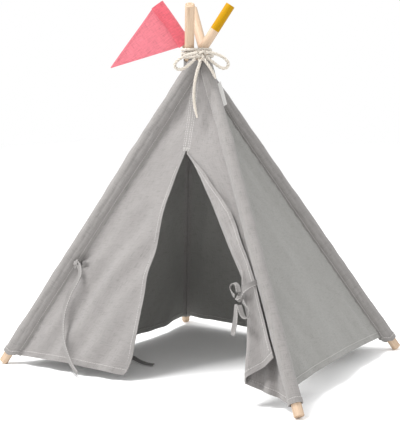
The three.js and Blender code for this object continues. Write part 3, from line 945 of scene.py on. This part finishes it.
def left_net():
    """Cloth from the front left sleeve to the fold, with the same rows as the flap beyond it."""
    length = PANEL_END - LEFT_HEM_ALONG
    shares = rows_from_hem(length, PANEL_STEP)
    seam = seam_point("front_left", "front_right", lerp(LEFT_HEM_ALONG, PANEL_END, shares))
    heights = lerp(FOLD_FOOT[1], PANEL_TOP, shares)
    fold = fold_point(heights)
    across = np.linspace(0, 1, LEFT_COLUMNS + 1)
    net = lerp(seam[:, None], fold[:, None], across[None, :, None])
    width = np.linalg.norm(fold - seam, axis=-1)
    sewn = np.outer(width, across)
    free = smooth((SLIT_TOP[1] - heights) / SLIT_EASE)[:, None]
    to_middle = np.outer(width, 1 - across)
    pull = smooth(sewn / 50) * np.maximum(free, smooth(to_middle / 40))
    upwards = np.sin(math.pi * np.clip(shares * 1.15, 0, 1))[:, None] ** 2
    billow = BILLOW * np.sin(math.pi * across)[None] * upwards
    reach = lerp(LEFT_HEM_ALONG, PANEL_END, shares)[:, None]
    between = smooth(sewn / 16) * smooth(to_middle / 16)
    depth, from_seam, height = HOLLOW
    hollow = depth * between * bump_at(to_middle, from_seam, 15) * bump_at(heights, height, 34)[:, None]
    offset = puckers(reach, sewn, 4.0) + tie_pucker(net, OUTER_ROOT, TIE_PUCKER) - billow - hollow
    net = net + front_offset(net, LEFT_SEED, pull) + offset[..., None] * OUTWARD["front"]
    return net, shares, heights, across, width


def stretched_heights(heights, edge):
    """Heights spread over the whole of an edge's table, from its first row to its last."""
    share = (heights - heights[0]) / (heights[-1] - heights[0])
    return lerp(edge[0][0], edge[-1][0], share)


def flap_net(fold, heights, last):
    """The free flap from its fold to its free edge, up to the top of the slit."""
    rows = slice(0, last)
    edge_heights = stretched_heights(heights[rows], FREE_EDGE)
    edge = front_at(read_table(FREE_EDGE, edge_heights), edge_heights, FRONT_LEVEL)
    across = np.linspace(0, 1, FLAP_COLUMNS + 1)
    straight = fold_point(heights[rows])
    net = lerp(straight[:, None], edge[:, None], across[None, :, None])
    width = np.linalg.norm(edge - straight, axis=-1)
    curl = np.outer(width, across**2) * FLAP_CURL
    rise = (heights[rows] / SLIT_TOP[1])[:, None]
    loose = np.clip(np.outer(width, across) / 90, 0, 1)
    wave = FLAP_WAVE * np.sin(math.pi * (1.3 * across[None] + 1.2 * rise)) * loose
    free = smooth((SLIT_TOP[1] - heights[rows]) / SLIT_EASE)[:, None]
    net = net + ((wave - curl) * free)[..., None] * OUTWARD["front"] + front_offset(net, LEFT_SEED, free)
    shift = (fold[rows] - net[:, 0])[:, None] * (1 - smooth(across * 3))[None, :, None]
    return net + shift, across, width


def make_front_left():
    net, shares, heights, across, width = left_net()
    length = PANEL_END - LEFT_HEM_ALONG
    hem_row = hem_seam_row(shares, length)
    last = int(np.searchsorted(heights, SLIT_TOP[1] - 1.0))
    flap, flap_across, flap_width = flap_net(net[:, -1], heights, last)

    whole = np.concatenate([net[:last], flap[:, 1:]], axis=1)
    whole_normals = net_normals(whole, OUTWARD["front"])
    normals = net_normals(net, OUTWARD["front"])
    normals[:last] = whole_normals[:, : LEFT_COLUMNS + 1]
    flap_normals = whole_normals[:, LEFT_COLUMNS:]

    shape = Shape()
    uvs = flat_coordinates(shares, length, np.outer(width, across))
    weights = smooth(across)
    add_cloth(shape, net, normals, hem_thickness(shares, length), weights, uvs)
    stitch_both_faces(shape, net[hem_row], normals[hem_row], HEM_THICKNESS / 2, weights)
    upper = slice(last, None)
    for inset in CENTRE_SEAMS:
        beside = net[upper, -1] - unit(net[upper, -1] - net[upper, -3]) * inset
        add_stitches(shape, beside + normals[upper, -1] * CLOTH / 2, normals[upper, -1], 1.0)
    piece = shape.make("front_panel_left", [CANVAS, THREAD])
    dress_bent(piece, shape, ("leg_front_left", "cover"), "front_panel_left")

    shape = Shape()
    from_fold = np.outer(flap_width, flap_across)
    thickness = hemmed_flap_thickness(shares[:last], length, np.outer(flap_width, 1 - flap_across))
    uvs = flat_coordinates(shares[:last], length, width[:last, None] + from_fold)
    shared = from_fold / np.maximum(flap_width[:, None], 8)
    weights = smooth(from_fold / 30) * smooth(shared * 3)
    add_cloth(shape, flap, flap_normals, thickness, weights, uvs)
    stitch_flap(shape, flap, flap_normals, hem_row, last, 7.0, weights)
    piece = shape.make("door_flap_left", [CANVAS, THREAD])
    dress_bent(piece, shape, ("cover", "door_flap"), "door_flap_left")


make_front_left()

# ---- Front, right half: the cloth and the flap that is folded back and tied ------------------------

RIGHT_COLUMNS = 52
BACK_COLUMNS = 44
RIGHT_HEM_ALONG = 27.0
PLEATS = 2.6  # across the gathered cloth
POCKET = (12.0, 110.0)  # the hollow below the tie: depth and height
BACK_CREASES = 2.3  # across the folded-back layer, where it is tied
BACK_CREASE_DEPTH = 2.4
ROLL = 4.0  # how full the folded-back layer stands
RIGHT_SEED, BACK_SEED = 8.0, 9.5


def gathered_share(heights):
    """How far each height follows the front right pole where the cloth is tied to it."""
    return smooth((SLIT_TOP[1] - heights) / (SLIT_TOP[1] - TIE_HEIGHT))


def right_net():
    """Cloth from the centre seam, and from the fold below it, to the front right sleeve."""
    length = PANEL_END - RIGHT_HEM_ALONG
    shares = rows_from_hem(length, PANEL_STEP)
    seam = seam_point("front_right", "front_left", lerp(RIGHT_HEM_ALONG, PANEL_END, shares))
    heights = lerp(FOLD_EDGE[0][0], PANEL_TOP, shares)
    table = [*FOLD_EDGE, (PANEL_TOP, SEAM_TOP_ACROSS)]
    fold = front_at(read_table(table, heights), heights, front_level(heights))
    across = np.linspace(0, 1, RIGHT_COLUMNS + 1)
    net = lerp(fold[:, None], seam[:, None], across[None, :, None])
    width = np.linalg.norm(fold - seam, axis=-1)
    sewn = np.outer(width, 1 - across)
    to_middle = np.outer(width, across)
    below = heights < SLIT_TOP[1]
    pull = smooth(sewn / 45) * smooth(to_middle / 30)
    tied = np.exp(-np.abs(heights - TIE_HEIGHT) / 110)[:, None] * below[:, None]
    flare = smooth((TIE_HEIGHT - heights) / 160)[:, None]
    pleats = np.sin(2 * math.pi * PLEATS * across[None] + 0.4) * np.sin(math.pi * across)[None]
    drawn_in = (4 * tied + 9 * flare) * np.sin(math.pi * across)[None]
    depth, height = POCKET
    pocket = depth * bump_at(heights, height, 50)[:, None] * np.sin(math.pi * across**1.8)[None]
    gathers = pleats * (3.2 * tied + 3.5 * flare) - drawn_in - pocket
    reach = lerp(RIGHT_HEM_ALONG, PANEL_END, shares)[:, None]
    offset = gathers + puckers(reach, sewn, 7.0)
    net = net + front_offset(net, RIGHT_SEED, pull) + offset[..., None] * OUTWARD["front"]
    return net, shares, heights, across, width


def back_net(fold, heights, last):
    """The folded-back layer, from the fold to the flap's own free edge."""
    rows = slice(0, last)
    edge_heights = stretched_heights(heights[rows], BACK_EDGE)
    edge_across = read_table(BACK_EDGE, edge_heights)
    rise = read_table(BACK_EDGE, edge_heights, 2) - FRONT_LEVEL
    edge = front_at(edge_across, edge_heights, FRONT_LEVEL)
    across = np.linspace(0, 1, BACK_COLUMNS + 1)
    sideways = lerp(across**2, across, 0.35)
    net = lerp(fold[rows][:, None], edge[:, None], sideways[None, :, None])
    depth = rise[:, None] * (1 - (1 - across[None]) ** 2.6)
    width = np.linalg.norm(edge - fold[rows], axis=-1)
    tied = np.exp(-np.abs(heights[rows] - TIE_HEIGHT) / 75)[:, None]
    inner = np.sin(math.pi * across)[None]
    low = smooth((TIE_HEIGHT - heights[rows]) / 120)[:, None]
    creases = BACK_CREASE_DEPTH * tied * np.sin(2 * math.pi * BACK_CREASES * across[None] + 0.5) * inner
    roll = ROLL * inner * (smooth((heights[rows] - TIE_HEIGHT) / 60)[:, None] + tied**3)
    valley = -4 * low * bump_at(across[None], 0.78, 0.12) + 12 * low * bump_at(across[None], 0.36, 0.22)
    fade = np.clip(width / 14, 0, 1)[:, None]
    offset = depth + (creases + valley + roll) * fade
    pull = np.clip(across * 3, 0, 1)[None] * fade * 0.6 * (1 - tied**2)
    net = net + front_offset(net, BACK_SEED, pull)
    return net + offset[..., None] * OUTWARD["front"], across, width


def make_front_right():
    net, shares, heights, across, width = right_net()
    length = PANEL_END - RIGHT_HEM_ALONG
    hem_row = hem_seam_row(shares, length)
    last = int(np.searchsorted(heights, SLIT_TOP[1] - 1.0))
    back, back_across, back_width = back_net(net[:, 0], heights, last)
    tied = gathered_share(heights)

    shape = Shape()
    normals = net_normals(net, OUTWARD["front"])
    uvs = flat_coordinates(shares, length, np.outer(width, across))
    weights = lerp(tied[:, None], 1.0, smooth(across)[None])
    add_cloth(shape, net, normals, hem_thickness(shares, length), weights, uvs)
    stitch_both_faces(shape, net[hem_row], normals[hem_row], HEM_THICKNESS / 2, weights[hem_row])
    upper = slice(last, None)
    for inset in CENTRE_SEAMS:
        beside = net[upper, 0] + unit(net[upper, 2] - net[upper, 0]) * inset
        add_stitches(shape, beside + normals[upper, 0] * CLOTH / 2, normals[upper, 0], weights[upper, 0])
    piece = shape.make("front_panel_right", [CANVAS, THREAD])
    dress_bent(piece, shape, ("cover", "leg_front_right"), "front_panel_right")

    shape = Shape()
    normals = net_normals(back, OUTWARD["front"])
    thickness = hemmed_flap_thickness(shares[:last], length, np.outer(back_width, 1 - back_across))
    uvs = flat_coordinates(shares[:last], length, np.outer(back_width, back_across))
    weights = tied[:last, None]
    add_cloth(shape, back, normals, thickness, weights, uvs)
    stitch_flap(shape, back, normals, hem_row, last, 6.0, weights)
    piece = shape.make("door_flap_right", [CANVAS, THREAD])
    dress_bent(piece, shape, ("cover", "leg_front_right"), "door_flap_right")


make_front_right()

# ---- Bar tack at the top of the slit ---------------------------------------------------------------

TACK_WIDTH = 16.0
TACK_ROWS = 5
TACK_PITCH = 1.3
TACK_START = 1.5  # above the slit's top
TACK_LEVEL = 0.9  # over the cloth's middle surface


def make_bar_tack():
    shape = Shape()
    across = np.linspace(SLIT_TOP[0] - TACK_WIDTH / 2, SLIT_TOP[0] + TACK_WIDTH / 2, 12)
    for row in range(TACK_ROWS):
        height = SLIT_TOP[1] + TACK_START + row * TACK_PITCH
        line = front_at(across, height, FRONT_LEVEL + TACK_LEVEL)
        add_stitches(shape, line, np.broadcast_to(OUTWARD["front"], line.shape), finish=0)
    piece = shape.make("slit_bar_tack", [THREAD])
    dress(piece, "cover")


make_bar_tack()

# ---- Tapes -----------------------------------------------------------------------------------------


def ribbon_frames(line, facing, lean):
    """The direction across a tape, between flat against its facing and on edge."""
    ahead = unit(np.gradient(line, axis=0))
    level = unit(np.cross(facing, ahead))
    wide = unit(np.cos(lean)[:, None] * level + np.sin(lean)[:, None] * facing)
    wide = unit(wide - (wide * ahead).sum(axis=1, keepdims=True) * ahead)
    return wide, np.cross(wide, ahead)


# Across a tape: share of its width, and of its thickness. Its edges are folded in and sewn.
TAPE_ACROSS = np.array([-0.5, -0.44, -0.15, 0.15, 0.44, 0.5])
TAPE_PROFILE = np.array([0.7, 1.0, 0.85, 0.85, 1.0, 0.7])
TAPE_CUP = 0.5  # the middle's rise over the edges
TAPE_SEAM = 0.36  # share of the width from the middle to the stitches


def add_ribbon(shape, line, facing, lean, width=TAPE_WIDTH):
    """A flat tape along a line, with a row of stitches along one edge of each face."""
    lean = np.broadcast_to(np.asarray(lean, float), (len(line),))
    wide, normal = ribbon_frames(line, np.broadcast_to(facing, line.shape), lean)
    cup = TAPE_CUP * (1 - (2 * TAPE_ACROSS) ** 2)
    across = TAPE_ACROSS[None, :, None] * width * wide[:, None]
    net = line[:, None] + across + cup[None, :, None] * normal[:, None]
    normals = np.repeat(normal[:, None], len(TAPE_ACROSS), axis=1)
    along = reach_along(line)[:, None]
    uvs = np.stack(np.broadcast_arrays(TAPE_ACROSS * width, along), axis=-1)
    add_cloth(shape, net, normals, TAPE_PROFILE * TAPE_THICKNESS, 0.0, uvs)
    seam = line + wide * width * TAPE_SEAM + normal * 0.2
    stitch_both_faces(shape, seam, normal, TAPE_THICKNESS * 0.52)


def route(points):
    return np.array([front_at(across, height, outwards) for across, height, outwards in points])


def tape_piece(shape, name, body, node=None):
    piece = shape.make(name, [TAPE, THREAD])
    dress(piece, body, node)
    return piece


def make_tape(name, line, body, leans, facing=OUTWARD["front"]):
    """A free tape along a line; leans are degrees on edge from its start to its end."""
    shares = np.linspace(0, 1, len(line))
    lean = np.radians(np.interp(shares, np.linspace(0, 1, len(leans)), leans))
    shape = Shape()
    add_ribbon(shape, line, facing, lean)
    tape = tape_piece(shape, name, body, name)


# ---- Tie round the gathered flap -------------------------------------------------------------------

BAND_ROUTE = [
    (221, 208, -4), (215, 204, 4), (208, 198.5, 9), (201, 191, 12), (197, 184, 13), (195, 177, 12),
    (188, 174, 6), (181, 178, -3), (180, 184, -11), (189, 191, -17), (204, 199, -19),
    (217, 206, -15), (222, 209, -8),
]
TIEBACK_ROUTES = {
    "tieback_loop_upper": [
        (193, 184.5, 17), (191.5, 190, 18.5), (188.5, 195.5, 19.5), (183.5, 198.3, 20),
        (177.5, 196.5, 19), (174.5, 190.5, 18), (178, 183.5, 17), (186, 177, 16.5),
    ],
    "tieback_loop_lower": [
        (206, 170.5, 18.5), (214, 164, 20), (222.5, 158, 21.5), (226.5, 151, 21.5),
        (222.5, 144, 20), (214.5, 144.5, 18), (207.5, 151, 17.5), (203, 157.5, 17),
        (199, 163.8, 16.5),
    ],
    "tieback_tail": [
        (191.5, 164.5, 15), (192.5, 156, 14), (194.5, 145, 13.5), (194.5, 133.5, 12),
        (193.5, 123.5, 10), (192.5, 113.5, 8),
    ],
}
LOOP_LEANS = [40, 62, 75, 60, 40]
TAIL_LEANS = [25, 10, -8, 12]
KNOT_CENTRE = front_at(196.0, 174.0, 15.0)
KNOT_TURNS = [(0.35, 6.2, 8.0), (-0.75, 5.4, 7.0)]  # tilt in radians, radius and the tape's width


def make_tieback():
    line = through(route(BAND_ROUTE), TAPE_STEP)
    facing = line - line.mean(axis=0)
    facing = unit(facing - (facing @ FRONT_RISE)[:, None] * FRONT_RISE)
    ahead = unit(np.gradient(line, axis=0))
    outwards = unit(np.cross(ahead, np.cross(facing, ahead)))
    shape = Shape()
    add_ribbon(shape, line, outwards, 0.0)
    tape_piece(shape, "tieback_band", "leg_front_right", "tieback_band")
    for name, points in TIEBACK_ROUTES.items():
        tail = name == "tieback_tail"
        line = through(route(points), TAPE_STEP)
        leans = TAIL_LEANS if tail else LOOP_LEANS
        make_tape(name, line, "leg_front_right", leans)
    make_tape_knot()


def make_tape_knot():
    """Two turns of the tape drawn tight where the bow is tied."""
    shape = Shape()
    turns = np.linspace(0, 2 * math.pi, 28)
    for tilt, radius, width in KNOT_TURNS:
        upright = unit(math.cos(tilt) * FRONT_RISE + math.sin(tilt) * FRONT_ACROSS)
        level = np.cross(upright, OUTWARD["front"])
        ring = directions(turns, level * radius * 0.8, OUTWARD["front"] * radius)
        out = unit(ring)
        crumple = 0.8 * np.sin(3 * turns + tilt * 4)
        add_ribbon(shape, KNOT_CENTRE + ring + out * crumple[:, None], out, 0.0, width)
    tape_piece(shape, "tieback_knot", "leg_front_right", "tieback_knot")


make_tieback()

# ---- Loose ties of the left side -------------------------------------------------------------------

OUTER_TIE = [
    (-203, 210, 5), (-188, 199, 8), (-183, 184.5, 8), (-190, 169, 7), (-199.5, 151.5, 7),
    (-204, 134, 7), (-205.5, 115.5, 7), (-203.5, 97, 7), (-199, 79, 7), (-192, 61, 7),
    (-181.5, 44, 7), (-169.5, 29, 7), (-155.5, 16.5, 7), (-143, 8, 7),
]
OUTER_LEANS = [0, 12, -20, 15, 35, 10, 25]
GROUND = 4.2  # the height of the tape's middle where it lies on the floor
# The inner tie's places are counted from the lashing's axis.
INNER_TIE = [
    (-196, -141, 206), (-195, -133, 180), (-193, -124, 145), (-191, -113, 108), (-188, -100, 72),
    (-185, -86, 40), (-181, -70, 17), (-175, -56, 7), (-165, -46, GROUND), (-150, -46, GROUND),
    (-134, -54, GROUND), (-120, -61, GROUND), (-105, -67, GROUND), (-88, -71, GROUND),
    (-72, -70, GROUND),
]
INNER_SHIFT = np.array([LASHING_AXIS[0], LASHING_AXIS[1], 0.0])
INNER_LEANS = [12]
ROOT_FOLDS = [
    [(-206, 206, -2), (-203, 211, 5), (-197.5, 207, 8.5), (-200, 200, 7), (-206, 197, 1)],
    [(-208, 203, -2), (-206, 206, 6), (-200, 205, 10), (-196, 201, 8.5), (-199, 196, 3)],
]
ROOT_MIDDLE = front_at(-203.0, 202.0, -6.0)
ROOT_WIDTH = 6.5
ROOT_STEP = 1.2


def make_tie_root():
    """The end of the outer tie, doubled over and gathered where it is sewn into the seam."""
    shape = Shape()
    for points in ROOT_FOLDS:
        line = through(route(points), ROOT_STEP)
        facing = unit(line - ROOT_MIDDLE)
        add_ribbon(shape, line, facing, 0.3, ROOT_WIDTH)
    tape_piece(shape, "left_tie_root", "leg_front_left")


def make_left_ties():
    make_tie_root()
    line = through(route(OUTER_TIE), TAPE_STEP)
    make_tape("left_tie_outer", line, "leg_front_left", OUTER_LEANS)
    line = through(np.array(INNER_TIE, float) + INNER_SHIFT, TAPE_STEP)
    lying = smooth((60 - line[:, 2]) / 50)[:, None]
    facing = unit(lerp(OUTWARD["front"][None], np.array([[0, 0, 1.0]]), lying))
    make_tape("left_tie_inner", line, "leg_front_left", INNER_LEANS, facing=facing)


make_left_ties()

# ---- Rope ------------------------------------------------------------------------------------------

STRAND_SIDES = 10
STRAND_FULLNESS = 1.06  # how much thicker a strand is than three that just touch


def add_rope(shape, line, closed=False, diameter=ROPE, thin=None):
    """Three strands twisted round each other along a line; thin scales the rope along it."""
    steps = np.roll(line, -1, axis=0) - np.roll(line, 1, axis=0) if closed else np.gradient(line, axis=0)
    ahead = unit(steps)
    side = unit(np.cross(ahead[0], [0.3, 0.2, 1.0]))
    sides = []
    for step in ahead:
        side = unit(side - (side @ step) * step)
        sides.append(side)
    sides = np.array(sides)
    ups = np.cross(ahead, sides)
    reach = reach_along(line)
    total = reach[-1] + (np.linalg.norm(line[0] - line[-1]) if closed else 0)
    turns = round(total / ROPE_PITCH) / total if closed else 1 / ROPE_PITCH
    scale = np.ones(len(line)) if thin is None else thin
    strand = diameter / 2 / (1 + 2 / math.sqrt(3)) * STRAND_FULLNESS
    offset = diameter / 2 - strand
    angles = circle_angles(STRAND_SIDES)
    for third in range(3):
        twist = 2 * math.pi * (reach * turns + third / 3)
        out = np.cos(twist)[:, None] * sides + np.sin(twist)[:, None] * ups
        round_out = np.cross(ahead, out)
        centre = line + out * (offset * scale)[:, None]
        cosines = np.cos(angles)[None, :, None]
        sines = np.sin(angles)[None, :, None]
        circle = cosines * out[:, None] + sines * round_out[:, None]
        rings = centre[:, None] + circle * (strand * scale)[:, None, None]
        around = np.broadcast_to(angles * strand + third * 11, rings.shape[:2])
        uvs = np.stack([around, np.repeat(reach[:, None], STRAND_SIDES, axis=1)], axis=-1)
        add_tube(shape, rings, closed=closed, uvs=uvs)


def lashing_ring(height, phase):
    """The rope's way round the four poles at about one height."""
    centres = np.array([axis_at(corner, height)[:2] for corner in CORNERS])
    angles = circle_angles(144)
    out = np.column_stack([np.cos(angles), np.sin(angles)])
    held = centres[np.argmax(out @ centres.T, axis=1)]
    flat = held + out * LASHING_REACH
    tilt = 0.9 * np.sin(angles + phase)
    line = np.column_stack([flat, height + tilt])
    return evenly(np.vstack([line, line[:1]]), 1.5)[:-1]


def bow_at(point):
    """A place in the bow, by distance to its right, height and distance out from the lashing's axis."""
    right, height, out = point
    facing = np.array([math.cos(BOW_FACING), math.sin(BOW_FACING)])
    sideways = np.array([-math.sin(BOW_FACING), math.cos(BOW_FACING)])
    return np.array([*(LASHING_AXIS + facing * out + sideways * right), height])


LASHING_ROUTES = {
    "lashing_loop_left": [
        (-3.5, 608.5, 46), (-14, 606, 46), (-26, 602, 46), (-37, 596, 45), (-43, 588, 44),
        (-41, 581, 43), (-33, 578.5, 43), (-23, 582, 43), (-13, 590, 44), (-4.5, 598, 45),
    ],
    "lashing_loop_right": [
        (15.5, 609, 46), (27, 608, 46), (39, 604, 46), (50, 598, 45), (57, 589, 44), (55, 581, 43),
        (47, 579, 43), (37, 584, 43), (27, 592, 44), (16.5, 600, 45),
    ],
    "lashing_tail_long": [
        (4.5, 596.3, 48.5), (3.3, 588, 50), (-1.7, 573.5, 50), (-5.9, 555, 49), (-8.2, 536.5, 48),
        (-8.2, 518, 48.5), (-6, 501.5, 52), (-3, 488, 58),
    ],
    "lashing_tail_short": [
        (12, 596.6, 49.5), (18, 588, 51), (24, 579, 51), (29, 570, 51), (33, 560, 52),
    ],
}
LASHING_KNOT = (6.0, 604.5, 42.0)
KNOT_SIZE = 3.0
KNOT_ROPE = 5.6  # drawn tight, so a little thinner
TAIL_END = 0.18  # share of a tail that thins towards its tip
TAIL_THINNING = 0.45


def rope_piece(name, shape, has_solid=True):
    piece = shape.make(name, [ROPE_FIBRE], 60)
    dress(piece, "cover", name if has_solid else None)
    return piece


def make_lashing():
    for number, height in enumerate(LASHING_HEIGHTS):
        shape = Shape()
        add_rope(shape, lashing_ring(height, number * 2.0), closed=True)
        rope_piece(f"lashing_turn_{number + 1}", shape, has_solid=number < CAD_TURNS)

    turns = circle_angles(120)
    right = np.sin(turns) + 2 * np.sin(2 * turns)
    up = np.cos(turns) - 2 * np.cos(2 * turns)
    out = -1.1 * np.sin(3 * turns)
    trefoil = np.array(LASHING_KNOT) + KNOT_SIZE * np.column_stack([right, up, out])
    shape = Shape()
    add_rope(shape, np.array([bow_at(point) for point in trefoil]), closed=True, diameter=KNOT_ROPE)
    rope_piece("lashing_knot", shape)

    for name, points in LASHING_ROUTES.items():
        line = through([bow_at(point) for point in points], ROPE_STEP)
        shares = np.linspace(0, 1, len(line))
        tail = "tail" in name
        thin = 1 - TAIL_THINNING * smooth((shares - (1 - TAIL_END)) / TAIL_END) if tail else None
        shape = Shape()
        add_rope(shape, line, thin=thin)
        rope = rope_piece(name, shape)


make_lashing()

# ---- Blank label in the seam of the right side -----------------------------------------------------

LABEL_LOW, LABEL_HIGH = 512.0, 550.0
LABEL_WIDTH = 20.0
LABEL_THICKNESS = 1.0
LABEL_TURN = (0.6, 0.8)  # shares of the side's own direction and of the way out of it


def make_label():
    heights = np.linspace(LABEL_LOW, LABEL_HIGH, 16)
    seam = seam_point("front_right", "rear_right", reach_at("front_right", heights))
    towards = unit(seam_point("rear_right", "front_right", reach_at("rear_right", heights)) - seam)
    across = np.linspace(0, 1, 9)
    flat, raised = LABEL_TURN
    standing = unit(flat * towards + raised * OUTWARD["right"])
    net = seam[:, None] + standing[:, None] * (1 + across * LABEL_WIDTH)[None, :, None]
    curl = 2.2 * across**2 + 0.8 * np.sin(heights / 6)[:, None] * across
    net = net + (towards[:, None] * curl[..., None])
    normals = net_normals(net, -OUTWARD["rear"])
    reach = np.linspace(0, LABEL_HIGH - LABEL_LOW, len(heights))
    uvs = np.stack(np.broadcast_arrays((across * LABEL_WIDTH)[None], reach[:, None]), axis=-1)
    shape = Shape()
    add_cloth(shape, net, normals, LABEL_THICKNESS, 0.0, uvs)
    for row in (1, -2):
        add_stitches(shape, net[row] + normals[row] * LABEL_THICKNESS / 2, normals[row])
    label = shape.make("side_label", [LABEL_CLOTH, WHITE_THREAD])
    dress(label, "leg_front_right", "side_label")


make_label()

# ---- Flag ------------------------------------------------------------------------------------------

FLAG_POLE = "rear_right"
FLAG_COLUMNS = 40
FLAG_ROWS = 30
FLAG_SIDES = 48
FLAG_THICKNESS = 0.9


def flag_direction():
    """From the pole towards the pennant: level across the pole, on its underside."""
    along = ALONG[FLAG_POLE]
    down = np.array([0, 0, -1.0])
    return unit(down - (down @ along) * along)


def flag_ring(reach, radius_extra):
    """One cross-section of the flag's sleeve, and the directions out from its pole."""
    middle = pole_point(FLAG_POLE, reach)
    first = flag_direction()
    second = np.cross(ALONG[FLAG_POLE], first)
    turns = circle_angles(FLAG_SIDES)
    seam_reach = FLAG_SEAM + 1.5 * math.sin(reach / 13)
    radii = hull_radius(turns, SLEEVE_RADIUS + radius_extra, [(seam_reach + radius_extra, 0.0)])
    rim = directions(turns, first, second)
    slack = ripple(middle + rim * 20, 22.0, 4.0) * 0.9 * (1 - np.cos(turns)) / 2
    return middle + rim * (radii + np.maximum(slack, -0.3))[:, None], rim


def make_flag_sleeve():
    reaches = np.linspace(FLAG_START, FLAG_END, 26)
    inner = np.array([flag_ring(reach, 0.0)[0] for reach in reaches])
    outer, rims = np.array([flag_ring(reach, FLAG_THICKNESS) for reach in reaches]).swapaxes(0, 1)
    around = np.arange(outer.shape[1]) * 1.5
    uvs = np.stack(np.broadcast_arrays(around[None], reaches[:, None]), axis=-1)
    shape = Shape()
    add_tube(shape, np.vstack([outer, inner[::-1]]), closed=True, uvs=np.vstack([uvs, uvs[::-1]]))
    for column in (4, -4):
        add_stitches(shape, outer[:, column], rims[:, column])
    sleeve = shape.make("flag_sleeve", [PINK_SLEEVE, PINK_THREAD])
    dress(sleeve, "flag_tube", "flag_sleeve")


def make_pennant():
    along = ALONG[FLAG_POLE]
    sideways = flag_direction()
    out = np.cross(along, sideways)
    across = np.linspace(0, 1, FLAG_COLUMNS + 1)
    shares = np.linspace(0, 1, FLAG_ROWS + 1)
    middle = (FLAG_START + FLAG_END) / 2
    low = lerp(FLAG_START, middle - PENNANT_TIP / 2, across)
    high = lerp(FLAG_END, middle + PENNANT_TIP / 2, across)
    reaches = lerp(low[None], high[None], shares[:, None])
    distance = (FLAG_SEAM - 2.0 + across * PENNANT_LENGTH)[None] + 0 * shares[:, None]
    net = pole_point(FLAG_POLE, reaches) + distance[..., None] * sideways
    free = smooth(across / 0.25)[None]
    wave = 3.0 * np.sin(5.2 * across + 0.5)[None] * free + 1.6 * ripple(net, 45.0, 2.0) * free
    net = net + wave[..., None] * out
    normals = net_normals(net, OUTWARD["front"])
    width = (high - low)[None]
    from_edge = np.minimum(shares[:, None], 1 - shares[:, None]) * width
    thickness = np.where(from_edge < PENNANT_HEM, PENNANT_HEM_THICKNESS, CLOTH)
    uvs = np.stack([distance, reaches], axis=-1)
    weights = smooth(across / 0.22)
    shape = Shape()
    add_cloth(shape, net, normals, thickness, weights, uvs)
    columns = slice(2, -5)
    for row, way in ((0, 1), (-1, -1)):
        inset = unit(net[row + way, columns] - net[row, columns]) * (PENNANT_HEM - 1)
        edge = net[row, columns] + inset
        lift = PENNANT_HEM_THICKNESS / 2
        stitch_both_faces(shape, edge, normals[row, columns], lift, weights[columns])
    pennant = shape.make("flag_pennant", [PINK, PINK_THREAD])
    dress_bent(pennant, shape, ("flag_tube", "flag"), "flag_pennant")


make_flag_sleeve()
make_pennant()

# ---- Stage -----------------------------------------------------------------------------------------

FLOOR_SIZE = 12.0
# The lamps: place, what each is aimed at, side and power, in metres and watts.
LIGHTS = {
    "key": ((-0.57, -1.09, 2.59), (0, 0, 0.3), 0.9, 76),
    "side": ((2.6, 0.6, 2.2), (0, 0, 0.25), 1.1, 12),
    "fill": ((-0.2, -2.6, 0.9), (0, 0, 0.2), 1.0, 7),
}


def make_floor():
    data = bpy.data.meshes.new("floor")
    half = FLOOR_SIZE / 2
    corners = [(-half, -half, 0), (half, -half, 0), (half, half, 0), (-half, half, 0)]
    data.from_pydata(corners, [], [(0, 1, 2, 3)])
    nodes = Nodes("floor")
    values = {
        "Base Color": (0.95, 0.95, 0.95, 1),
        "Emission Color": (1, 1, 1, 1),
        "Emission Strength": 0.04,
        "Roughness": 0.9,
        "Specular IOR Level": 0.1,
    }
    for socket, value in values.items():
        nodes.shader.inputs[socket].default_value = value
    data.materials.append(nodes.material)
    floor = bpy.data.objects.new("floor", data)
    bpy.context.scene.collection.objects.link(floor)


def add_light(name, position, target, size, power):
    data = bpy.data.lights.new(name, "AREA")
    data.shape = "SQUARE"
    data.size = size
    data.energy = power
    light = bpy.data.objects.new(name, data)
    light.location = position
    aim = Vector(target) - Vector(position)
    light.rotation_euler = aim.to_track_quat("-Z", "Y").to_euler()
    bpy.context.scene.collection.objects.link(light)


def make_world():
    world = bpy.data.worlds.new("studio")
    world.use_nodes = True
    background = world.node_tree.nodes["Background"]
    background.inputs["Color"].default_value = (1, 1, 1, 1)
    background.inputs["Strength"].default_value = 1.0
    bpy.context.scene.world = world


make_floor()
make_world()
for light_name, values in LIGHTS.items():
    add_light(light_name, *values)
bpy.context.scene.view_settings.view_transform = "Standard"
